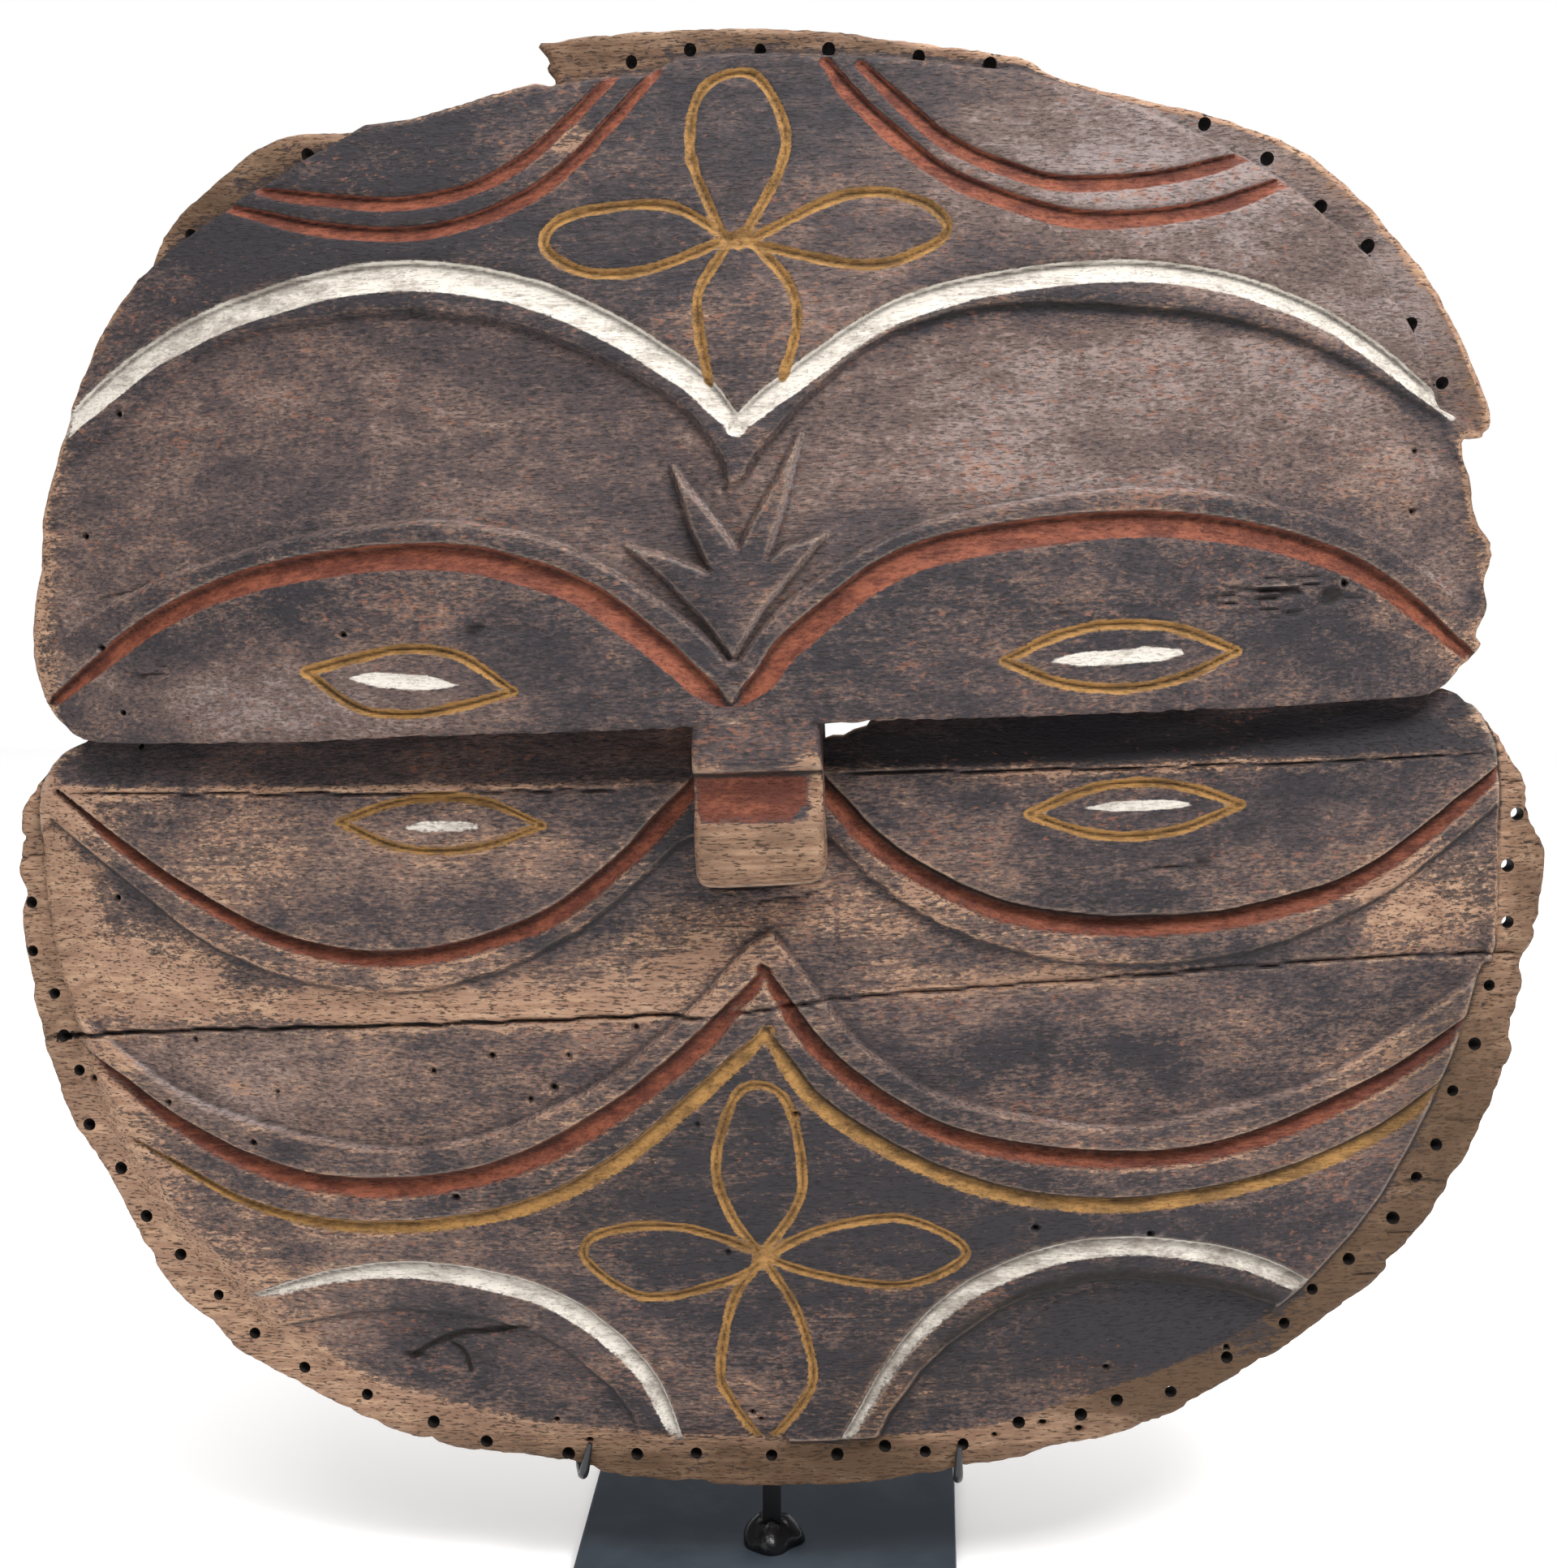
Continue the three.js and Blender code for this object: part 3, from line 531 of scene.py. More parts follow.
class Zone:
    """One face of the mask: its relief and the layers that its finish reads.

    Attributes:
        raster: Grid that the zone is worked out on.
        height: Height of the carved face.
        carved: Depth of the channels and lines, where the deeper of two counts.
        layers: Pigments, as millimetres inside their edge; bare, how far the paint is rubbed off;
        tone, how pale the charcoal is, with painted sheen, highlights and shade in it; soil, how brown
        the wood is; hollow; and black dirt, which also holds painted shade.
        far: Least value of a pigment's layer, well outside its edge.
    """

    layer_names = ("red", "white", "ochre", "bare", "tone", "soil", "hollow", "dirt_and_shade")
    far = -6.0

    def __init__(self, raster: Raster, height: Array) -> None:
        """Starts the zone from an uncarved face.

        Args:
            raster: Grid that the zone is worked out on.
            height: Height of the uncarved face.
        """
        self.raster = raster
        self.height = height
        self.carved = np.zeros(height.shape)
        self.layers = {pigment.value: np.full(height.shape, self.far) for pigment in Pigment}
        self.layers.update({name: np.zeros(height.shape) for name in ("bare", "tone", "soil", "dirt_and_shade")})

    def weather(self, seed: int) -> None:
        """Adds the soft facets that the adze left."""
        u, v = self.raster.uu, self.raster.vv
        self.height += 0.34 * rumple(u, v, 31, 13, seed) + 0.14 * rumple(u, v, 13, 7, seed + 1)

    def paint(self, pigment: Pigment, cover: Array) -> None:
        """Adds pigment, where cover is the distance inside the painted area."""
        layer = self.layers[pigment.value]
        np.maximum(layer, np.maximum(cover, self.far), out=layer)

    def carve_channel(self, channel: Channel) -> None:
        """Cuts one channel, steep at its upper edge and sloping up to its lower one, and paints it.

        Args:
            channel: The channel.
        """
        distance, share = self.raster.near(spline(channel.points), 9.0)
        widths = np.interp(share, (0, 0.25, 0.5, 0.75, 1), channel.widths)
        taper = 1 - channel.taper * (1 - ease(0.0, 0.1, share) * ease(0.0, 0.1, 1 - share))
        half = widths * taper / 2 + 0.2 * rumple(self.raster.uu, self.raster.vv, 9, 4, 71)
        reached = np.isfinite(distance)
        across = np.where(reached, distance / np.maximum(half, 0.2), 9.0)
        floor = 0.4 + 0.6 * ease(-1.0, channel.lean, across)
        depth = channel.depth * taper * floor * ease(-1.1, -0.5, across)
        depth *= 1 - ease(channel.lean, 1.05, across)
        np.maximum(self.carved, depth, out=self.carved)
        self.paint(channel.pigment, np.where(reached, half - 0.1 - np.abs(distance), self.far))
        self.layers["bare"] += channel.worn * ease(-1.2, -1.0, across) * (1 - ease(-0.9, -0.4, across))
        # Painted shadow: the upper corner, under the steep upper wall, is blackened.
        painted_shadow = channel.painted_shadow * ease(0.25, 0.85, across) * (1 - ease(1.0, 1.15, across))
        np.maximum(self.layers["dirt_and_shade"], painted_shadow, out=self.layers["dirt_and_shade"])

    def carve_line(self, line: Line) -> None:
        """Cuts one thin line; its paint has spread a little past its edges.

        Args:
            line: The line.
        """
        distance, share = self.raster.near(spline(line.points), 6.0)
        half = line.width / 2 * (1 + 0.22 * rumple(self.raster.uu, self.raster.vv, 5, 3, 72))
        half = half * (1 - line.taper * (1 - ease(0.0, 0.3, share) * ease(0.0, 0.3, 1 - share)))
        reached = np.isfinite(distance)
        across = np.where(reached, np.abs(distance) / np.maximum(half, 0.2), 9.0)
        np.maximum(self.carved, line.depth * np.clip(1 - across, 0, 1), out=self.carved)
        self.paint(line.pigment, np.where(reached, half + line.spread - np.abs(distance), self.far))

    def carve(self, channels: Sequence[Channel], lines: Sequence[Line]) -> None:
        """Cuts and paints all the channels and lines.

        Args:
            channels: Channels to cut.
            lines: Thin lines to cut.
        """
        for channel in channels:
            self.carve_channel(channel)
        for line in lines:
            self.carve_line(line)
        self.height -= self.carved

    def stop_paint(self, edge: Array) -> None:
        """Ends every pigment at the field's edge, given as the distance inside it."""
        for pigment in Pigment:
            np.minimum(self.layers[pigment.value], edge + 0.3, out=self.layers[pigment.value])

    def bore(self, holes: Points, seed: int) -> None:
        """Pits the face with worm holes, a little uneven in size and form.

        Args:
            holes: Middles of the holes.
            seed: Seed of their sizes.
        """
        rng = np.random.default_rng(seed)
        for u, v in holes:
            radius = WORM_DIAMETER / 2 * rng.uniform(0.75, 1.25)
            gap = np.hypot((self.raster.uu - u) / rng.uniform(1.0, 1.35), self.raster.vv - v)
            pit = 1 - ease(0.5 * radius, 1.35 * radius, gap)
            self.height -= WORM_DEPTH * pit
            # Each pit is blackened inside.
            np.maximum(self.layers["dirt_and_shade"], pit, out=self.layers["dirt_and_shade"])

    def crack(self, crack: Crack, seed: int) -> None:
        """Opens one crack, which wanders a little along the grain.

        Args:
            crack: The crack.
            seed: Seed of its wandering.
        """
        line = spline(crack.points, 14)
        line[:, 1] += 0.4 * rumple(line[:, 0], line[:, 0] * 0, 5, 9, seed)
        distance, share = self.raster.near(line, 4.0)
        half = crack.width / 2 * (1 + 0.6 * rumple(self.raster.uu, self.raster.vv, 7, 9, seed + 1))
        fade = ease(0.0, 0.06, np.minimum(share, 1 - share))
        gap = np.where(np.isfinite(distance), np.abs(distance), 9.0)
        self.height -= crack.depth * fade * (1 - ease(0.2, 1.4, gap / np.maximum(half, 0.35)))
        dark = np.clip(1.0 - (gap - half * fade) / 0.35, 0, 1) * crack.dark
        np.maximum(self.layers["dirt_and_shade"], dark, out=self.layers["dirt_and_shade"])

    def cover(self, name: str, patches: Sequence[Patch]) -> None:
        """Adds soft ovals to a layer, each as strong as its amount."""
        for patch in patches:
            self.layers[name] += patch.amount * patch.share(self.raster, 1.5)

    def dent(self, dents: Sequence[Patch]) -> None:
        """Takes shallow ovals out of the face; the amount is a depth in millimetres."""
        for dent in dents:
            self.height -= dent.amount * dent.share(self.raster)

    def splinter(self, patches: Sequence[Patch], seed: int) -> None:
        """Tears fibres out of the face; the amount is a depth in millimetres.

        Args:
            patches: Ovals of torn wood.
            seed: Seed of the fibres.
        """
        fibre = ease(0.05, 0.5, rumple(self.raster.uu, self.raster.vv, 5.0, 0.9, seed))
        for patch in patches:
            torn = fibre * patch.share(self.raster)
            self.height -= patch.amount * torn
            np.maximum(self.layers["dirt_and_shade"], 0.75 * torn, out=self.layers["dirt_and_shade"])

    def round_edge(self, outline: Array, radius: float, seed: int) -> None:
        """Wears the edge round an outline.

        Args:
            outline: Corners of the outline.
            radius: Radius of the worn edge.
            seed: Seed of the wear.
        """
        edge = self.raster.signed(outline, 6.0)
        worn = radius * (1 + 0.45 * rumple(self.raster.uu, self.raster.vv, 12, 12, seed))
        inset = np.clip(1 - edge / worn, 0, 1)
        self.height -= worn * (1 - np.sqrt(1 - inset**2)) * 0.8

    def find_hollows(self) -> None:
        """Works out where the relief is hollow, from 1, to where it is proud, at -1."""
        fine = self.raster.smoothed(self.height, 0.9) - self.height
        broad = self.raster.smoothed(self.height, 3.0) - self.height
        self.layers["hollow"] = np.clip(np.where(fine < 0, fine / 0.5, fine / 0.42 + broad / 3.0), -1, 1)


def upper_zone(step: float) -> Zone:
    """Carves the upper half.

    Args:
        step: Grid step.

    Returns:
        The carved zone.
    """
    raster = Raster(-190, 186, -8, 168, step)
    u, v = raster.uu, raster.vv
    zone = Zone(raster, DOME.upper(u, v))
    zone.weather(11)
    bare, tone, soil, dirt_and_shade = (zone.layers[name] for name in ("bare", "tone", "soil", "dirt_and_shade"))

    brow_outline = softened([*BROW_PANEL_TOP, *BROW_PANEL_FOOT])
    brow_panel = raster.signed(brow_outline)
    crown = raster.signed(np.array(CROWN, float))
    fade = np.clip(1 - np.abs(u / DOME.half_height) ** 4, 0, 1)
    sunk = 2.5 * fade * ease(-0.9, 0.9, brow_panel)
    scooped = 1.1 * fade * raster.smoothed(ease(0.0, 14.0, raster.signed(brow_outline, 16.0)), 1.5)
    blade = 3.6 * ease(-1.1, 1.0, crown)
    zone.height -= np.maximum(sunk + scooped - blade, 0)
    inside_panel = ease(-0.6, 0.8, brow_panel) * (1 - ease(-0.4, 0.6, crown))
    tone += 0.25 * inside_panel - 0.12
    # Painted light on the crown's bevels: paler where they face right, towards the light, and blackened where
    # they face left, as painted shade.
    bevel = np.exp(-((crown / 0.9) ** 2)) * ease(-0.2, 1.2, brow_panel)
    facing_left = np.gradient(crown, axis=1) / step
    tone += 0.75 * bevel * np.clip(-facing_left, 0, 1) - 0.08 * ease(0.2, 1.2, crown)
    dirt_and_shade += 0.42 * bevel * np.clip(facing_left, 0, 1)
    # Painted highlight along the brow panel's upward-facing lower edge; painted shadow under its
    # downward-facing upper step, broader and darker towards the right.
    rising = np.clip(np.gradient(brow_panel, axis=0) / step, 0, 1)
    tone += 0.45 * rising * np.exp(-((brow_panel / 0.6) ** 2))
    falling = np.clip(-np.gradient(brow_panel, axis=0) / step, 0, 1)
    dirt_and_shade += 0.5 * falling * np.exp(-((brow_panel / 0.8) ** 2))
    shaded = falling * np.exp(-(((brow_panel - 0.2) / 2.4) ** 2)) * ease(10.0, 60.0, u)
    tone -= 0.9 * shaded
    dirt_and_shade += 0.22 * shaded
    zone.carve(UPPER_CHANNELS, UPPER_LINES)
    zone.layers["red"] -= 2.0 * (1 - ease(3.0, 11.0, v)) * np.exp(-(((u + 4) / 9) ** 4))
    bare -= 0.1 * ease(98.0, 110.0, v)

    field_edge = raster.signed(np.array(UPPER_FIELD, float)) + 0.5 * rumple(u, v, 8, 5, 14)
    rim = DOME.rim(u, v) + 0.3 * rumple(u, v, 9, 5, 15)
    share = ease(-1.4, 1.0, field_edge)
    zone.height = rim * (1 - share) + zone.height * share
    zone.stop_paint(field_edge)
    off_field = 1 - ease(-1.6, -0.2, field_edge + 0.8 * rumple(u, v, 5, 3, 18))
    bare += (0.75 - 0.5 * ease(30.0, 80.0, u)) * off_field
    soil += 0.25 * off_field
    outline = softened(UPPER_OUTLINE)
    zone.round_edge(outline, 1.5, 16)
    to_outline = raster.signed(outline)
    bare += 0.5 * (1 - ease(0.0, 2.6, to_outline)) * ease(2.0, 9.0, v)
    # Barer, less soiled wood along the outer edge at the upper right, which is paler there.
    fresh = (1 - ease(0.6, 1.8, to_outline)) * ease(25.0, 70.0, u) * ease(58.0, 66.0, v)
    bare += fresh
    soil -= 1.2 * fresh
    zone.cover("bare", UPPER_WEAR)
    zone.cover("tone", UPPER_TONE_AND_SHEEN)
    zone.cover("soil", UPPER_SOIL)
    zone.dent(UPPER_DENTS)
    zone.splinter(UPPER_SPLINTERS, 19)
    for i, crack in enumerate(UPPER_CRACKS):
        zone.crack(crack, 30 + 3 * i)
    zone.bore([hole for hole in WORM_HOLES if hole[1] > 0], 17)
    zone.find_hollows()
    zone.layers["hollow"] *= 1 - 0.75 * np.exp(-((field_edge / 2.0) ** 2))
    return zone


def lower_zone(step: float) -> Zone:
    """Carves the lower half and the eye ledge.

    Args:
        step: Grid step.

    Returns:
        The carved zone.
    """
    raster = Raster(-195, 194, -199, 9, step)
    u, v = raster.uu, raster.vv
    zone = Zone(raster, DOME.lower(u, v))
    zone.weather(21)
    bare, tone, soil, dirt_and_shade = (zone.layers[name] for name in ("bare", "tone", "soil", "dirt_and_shade"))

    for panel in (CHEEK_PANEL, LEFT_CORNER_PANEL, RIGHT_CORNER_PANEL):
        edge = raster.signed(softened(panel.points))
        zone.height -= panel.depth * ease(-0.5, panel.slope, edge)
        # Painted highlight along each panel's upward-facing edge, and painted shadow under its
        # downward-facing upper step, as wide as the panel's shadow.
        rising = np.clip(np.gradient(edge, axis=0) / step, 0, 1)
        tone += 0.5 * rising * np.exp(-(((edge - 0.3) / 0.7) ** 2))
        falling = np.clip(-np.gradient(edge, axis=0) / step, 0, 1)
        dark = falling * np.exp(-(((edge - 0.9 + 0.9 * panel.shadow) / panel.shadow) ** 2))
        dirt_and_shade += 0.5 * panel.shadow**0.6 * dark
        tone -= 0.5 * dark
    zone.carve(LOWER_CHANNELS, LOWER_LINES)

    field_edge = raster.signed(softened([*LOWER_OUTLINE_TOP, (-177, -5), *LOWER_STEP]), 10.0)
    rim = DOME.rim(u, v) + 0.35 * rumple(u, v, 9, 5, 25)
    soft = np.where(u < 0, 4.6, 0.3) * ease(-50.0, -110.0, v) + 0.7
    share = ease(-0.6 * soft, soft, field_edge)
    zone.height = rim * (1 - share) + zone.height * share
    zone.stop_paint(field_edge)
    soil += 0.15 * (1 - share)
    bare += 0.12 + 0.75 * (1 - ease(-0.5, np.where(u < 0, 4.5, 0.6), field_edge))
    zone.round_edge(softened(LOWER_OUTLINE), 1.8, 26)

    middle = np.clip(1 - (u / DOME.half_width) ** 2, 0, None)
    depth = LEDGE_DEPTH_END + (LEDGE_DEPTH_MIDDLE - LEDGE_DEPTH_END) * middle
    wave = 0.4 * rumple(u, v * 0, 22, 9, 27)
    foot = LEDGE_FOOT + LEDGE_RISE * ease(0.0, 12.0, u) * (1 - u / 176)
    ramp = DOME.lower(u, v * 0) - depth * (v - foot + wave) / (LEDGE_BACK - foot)
    ramp += 0.3 * rumple(u, v, 20, 4, 28)
    zone.height = np.where(v > foot - 9, np.minimum(zone.height, ramp), zone.height)
    bare -= 0.4 * ease(0.2, 1.8, v - foot)

    zone.cover("bare", LOWER_WEAR)
    zone.cover("tone", LOWER_TONE_AND_SHADE)
    zone.cover("soil", LOWER_SOIL)
    zone.dent(LOWER_DENTS)
    zone.splinter(LOWER_SPLINTERS, 24)
    for i, crack in enumerate(LOWER_CRACKS):
        zone.crack(crack, 60 + 3 * i)
    for i, (outer, level, length) in enumerate(RIM_CRACKS):
        inner = outer - math.copysign(length, outer)
        split = Crack(((outer, level), (inner, level + 0.7)), width=0.35, depth=1.0, dark=0.75)
        zone.crack(split, 100 + 3 * i)
    zone.bore([hole for hole in WORM_HOLES if hole[1] < 0], 29)
    zone.find_hollows()
    return zone


def nose_zone(step: float) -> Zone:
    """Carves the block nose.

    Args:
        step: Grid step.

    Returns:
        The carved zone.
    """
    raster = Raster(NOSE_LEFT - 3, NOSE_RIGHT + 3, NOSE_FOOT - 3, NOSE_TOP + 2, step)
    u, v = raster.uu, raster.vv
    face = float(DOME.upper(np.zeros(1), np.zeros(1))[0])
    wave = 0.35 * rumple(u, v * 0, 7, 9, 41)
    heights = np.interp(v + wave, NOSE_PROFILE_V, [face + lift for lift in NOSE_PROFILE_W])
    heights += 0.12 * rumple(u, v, 6, 3, 42) - 0.9 * ((u - 0.7) / 15) ** 4
    zone = Zone(raster, heights)
    bare, tone, soil, dirt_and_shade = (zone.layers[name] for name in ("bare", "tone", "soil", "dirt_and_shade"))
    zone.round_edge(softened(NOSE_OUTLINE), 1.5, 43)
    band = np.minimum(NOSE_RED_TOP - v, v - NOSE_RED_FOOT) + 0.5 * rumple(u, v, 4, 3, 44)
    band -= 3.4 * ease(10.5, 13.6, u + 3.5 * rumple(u, v, 4, 2.5, 45))
    zone.paint(Pigment.RED, band - 3 * ease(13.4, 14.4, -u))
    bare -= 0.3 * ease(-9.5, -8.0, v)
    bare += 1.1 * ease(-21.0, -23.0, v) + 0.45 * ease(10.5, 13.5, u) * ease(-4.0, -8.0, v)
    soil += 0.4 - 0.2 * ease(-23.0, -21.0, v)
    tone -= 0.15 * ease(-9.5, -8.0, v)
    # Painted shadow under the black step, along the top of the red cove.
    dirt_and_shade += 0.7 * ease(-12.6, -11.0, v) * (1 - ease(-10.2, -9.6, v))
    zone.cover("bare", NOSE_WEAR)
    zone.find_hollows()
    return zone


# Outlines of the upper half, clockwise from the left end of the lip. The flange is broken away
# along both sides and between two stubs at the upper left
LEFT_EDGE = (
    (-160, -1.5), (-168.5, -0.5), (-176.5, 6.5), (-180, 18), (-179.5, 27.5), (-175, 47.5),
    (-175, 54.5), (-164, 83.5), (-154.5, 100), (-146.5, 108.5),
)
LEFT_STUB = (
    (-146, 111.5), (-144, 117.4), (-142, 121.4), (-136.3, 126.8), (-126.6, 133.6), (-118.6, 139.6),
    (-111, 142.6), (-103.7, 143.2), (-93, 142.6),
)
TOP_LEFT_EDGE = ((-76, 143.5), (-60, 147.5), (-45, 150.5))
TOP_FLANGE = (
    (-43, 151.8), (-45.5, 155), (-44.5, 157), (-48, 161.4), (-41, 161.6), (-28.5, 162.6),
    (-5, 162.6), (17.5, 161.3), (32.5, 159),
    (55.5, 155), (67.5, 152.5), (72.5, 149), (93, 142.5), (112, 138), (131, 130.5), (146, 118),
    (153.5, 109), (162.5, 98), (170, 83.5), (176.5, 67.5), (176.5, 63.5), (173.5, 60.5),
)
RIGHT_EDGE = (
    (167, 61), (169, 54), (170.5, 41.5), (175.5, 34.5), (172.5, 27), (173.5, 20), (170, 14.5),
    (172.5, 11.5), (160.5, 1), (154, 0.5),
)
LIP = ((118, 0), (50, 0.5), (0, 0.5), (-60, 0), (-122, -1.5))
LEFT_STUB_STEP = ((-143.5, 111.5), (-136, 117), (-121, 126.5), (-96, 139))
TOP_STEP = (
    (-21, 151.5), (-14, 154.5), (8, 155), (36.5, 152.5), (66.5, 148), (93, 139), (117.5, 127),
    (130.5, 117.5), (146, 103.5), (157.5, 84), (163, 67.5),
)
# Where the flange is broken away, the field runs on past the break
LEFT_FIELD = ((-185, -6), (-187, 20), (-182, 60), (-166, 95), (-150, 108.5))
TOP_LEFT_FIELD = ((-80, 148), (-50, 152.5), (-44, 149.4))
RIGHT_FIELD = ((175, 60), (184, 30), (184, -6))
UPPER_OUTLINE = (*LEFT_EDGE, *LEFT_STUB, *TOP_LEFT_EDGE, *TOP_FLANGE, *RIGHT_EDGE, *LIP)
UPPER_FIELD = (*LEFT_FIELD, *LEFT_STUB_STEP, *TOP_LEFT_FIELD, *TOP_STEP, *RIGHT_FIELD)

# Outlines of the lower half, with the nicks and worn scallops of its flange
LOWER_OUTLINE_TOP = ((172.5, -3.5), (166.5, 1), (160.5, 1), (158, 5), (-164, 5), (-168.5, -0.5))
LOWER_LEFT = (
    (-176.5, -5), (-181.5, -10), (-188.5, -18), (-189.5, -24.5), (-188, -26), (-189.5, -27.5),
    (-191, -35), (-189, -40), (-191, -43), (-191, -50), (-188.5, -75.5), (-182, -98.5),
    (-171.5, -115), (-169.5, -120), (-162, -136.5), (-156, -145.5), (-145.5, -153.5),
    (-140, -160.5), (-118.5, -172), (-99.5, -181), (-81, -186), (-64, -186.5), (-43.5, -192),
    (-24, -194), (0, -195),
)
LOWER_RIGHT = (
    (23, -194), (42, -191), (57.5, -189), (66.5, -185.5), (81.5, -183.5), (97.5, -178),
    (109, -170.5), (118, -166.5), (140.5, -151), (148.5, -145), (154.5, -137), (161, -130),
    (173.5, -109.5), (178, -97.5), (182, -90), (181, -82.5), (184.5, -72.5), (183.5, -67),
    (188, -59), (189.5, -44), (189.5, -37.5), (185, -29.5), (185, -22), (179.5, -12.5),
)
LOWER_STEP = (
    (-182.5, -14), (-183, -38), (-181, -59), (-175.5, -77.5), (-170, -99.5), (-159, -119),
    (-153, -128), (-141.5, -138), (-129.5, -153), (-110, -165.5), (-90.5, -172.5),
    (-53, -180.5), (0, -182.5), (49, -180), (66.5, -175), (97.5, -165.5), (124.5, -150.5),
    (146, -127.5), (158.5, -106), (168.5, -83), (173, -66), (176.5, -65.5), (177.5, -44),
    (177.5, -14),
)
LOWER_OUTLINE = (*LOWER_OUTLINE_TOP, *LOWER_LEFT, *LOWER_RIGHT)

# Carved lines of the upper half. After its points a channel has its depth, wear and painted shadow
UPPER_CHANNELS = (
    Channel(RED, (4.2, 6, 6.7, 6.4, 5), (
        (-175, 8.5), (-142.5, 29), (-110, 39), (-71.5, 41.5), (-42, 34), (-25.5, 22.8), (-13, 11.6),
        (-4.8, 3.4)), 2.6, 0.05, 0.4),
    Channel(RED, (5, 6.2, 6.7, 6, 4.5), (
        (-4.2, 3.4), (3, 11), (11.5, 20.4), (37, 37), (74, 43), (108, 41.5), (142, 30.5),
        (172, 6.5)), 2.6, 0.05, 0.5),
    Channel(WHITE, (6, 6.8, 7.4, 6.8, 5.5), (
        (-170, 73), (-139.5, 93), (-106, 104), (-74, 106.5), (-43, 99), (-14, 82),
        (-1, 68.5)), 2.0, 0.0, 0.25),
    Channel(WHITE, (5.5, 5.8, 5.5, 5, 4.4), (
        (-2, 68.5), (12, 79), (38.5, 94.5), (75, 101), (107, 99), (136, 88), (165, 66.5)), 2.0, 0.0, 0.25),
    Channel(RED, (3.2, 3.7, 3.6, 3.7, 3.2), (
        (-114, 128.5), (-97.5, 125.5), (-79.5, 123.5), (-62, 126), (-46.5, 134),
        (-28, 150.5)), 1.7, 0.15, 0.3),
    Channel(RED, (3.2, 3.8, 3.8, 3.9, 3.4), (
        (-122, 125), (-97.5, 118.5), (-74, 116.5), (-54.5, 121), (-39, 130), (-18, 151)), 1.9, 0.1, 0.4),
    Channel(RED, (3.6, 4.2, 4.2, 4.2, 3.6), (
        (29, 150.5), (47, 133), (61.5, 125.5), (76.5, 121.5), (99, 122.5), (118, 127)), 1.9, 0.1, 0.4),
    Channel(RED, (3.8, 4.5, 4.6, 4.5, 3.8), (
        (21, 151.5), (29, 141), (47, 125), (69, 115.5), (83.5, 113), (106, 114.5),
        (127, 121)), 2.0, 0.1, 0.4),
)
BROW_PANEL_TOP = (
    (-168, 64), (-151, 75), (-131, 91), (-116, 96), (-82, 99.5), (-51, 94.5), (-28, 83.5),
    (-17, 76.5), (-11.5, 71.5), (-7.5, 66), (-4.5, 61), (-3.8, 55.5), (-0.3, 56.5), (2.3, 61.5),
    (6, 65.5), (14, 74.3), (31, 88), (53, 94), (75, 94.5), (109, 90.5),
    (128, 85), (143.5, 77), (166, 63),
)
BROW_PANEL_FOOT = (
    (170.5, 19.5), (154.5, 32), (138.5, 42), (108, 50.5), (82, 52), (44.5, 46.8), (30, 41.8),
    (18.5, 35.2), (8.3, 28), (1.5, 21), (-3.6, 13.6), (-10.5, 22), (-19.8, 29.4), (-29, 36),
    (-44.5, 44.8), (-71.5, 50.5), (-107.5, 47.5), (-142, 38.5),
    (-158, 32), (-172, 24),
)
CROWN = (
    (-16.6, 60.4), (-12.3, 54.6), (-5.3, 45.6), (-1.8, 40.6), (1.4, 46.8), (7.6, 56.6), (13.2, 67),
    (9.6, 52.8), (4.6, 38.2), (9, 41.2), (18, 43.6), (12.8, 37.6), (3.4, 27.6), (-3.7, 16.4),
    (-9.4, 24.6), (-18.6, 34.6), (-27.6, 42.6), (-19.5, 40.6), (-8.4, 36), (-12.8, 46.2),
)
UPPER_LINES = (
    Line(OCHRE, (
        (-3, 111), (-10.5, 131.5), (-7.5, 146.5), (4, 149.5), (11, 138), (10, 127), (0, 110))),
    Line(OCHRE, (
        (-1, 111), (-16.5, 120), (-39, 118.5), (-45, 112), (-35.5, 105.5), (-20.5, 105.5), (-1, 112))),
    Line(OCHRE, (
        (0, 110), (24.5, 120.5), (41, 119), (48, 112.5), (42.5, 107.5), (28, 104.5), (0, 111))),
    Line(OCHRE, ((-2, 111), (-9, 100.5), (-9.5, 92), (-7.5, 79))),
    Line(OCHRE, ((1, 113), (11, 101.5), (13, 91.5), (9.5, 79.5))),
    *eye((-106, 15.5), (-55, 10), 7.6),
    *eye((58, 13.5), (112, 13.5), 7.4),
    Line(WHITE, ((-96.3, 14), (-82, 13), (-67.9, 11.6)), 2.7, 0.25, 0.2, 1.0),
    Line(WHITE, ((66.5, 13.2), (85, 13.4), (102, 14)), 3.0, 0.25, 0.2, 1.0),
)

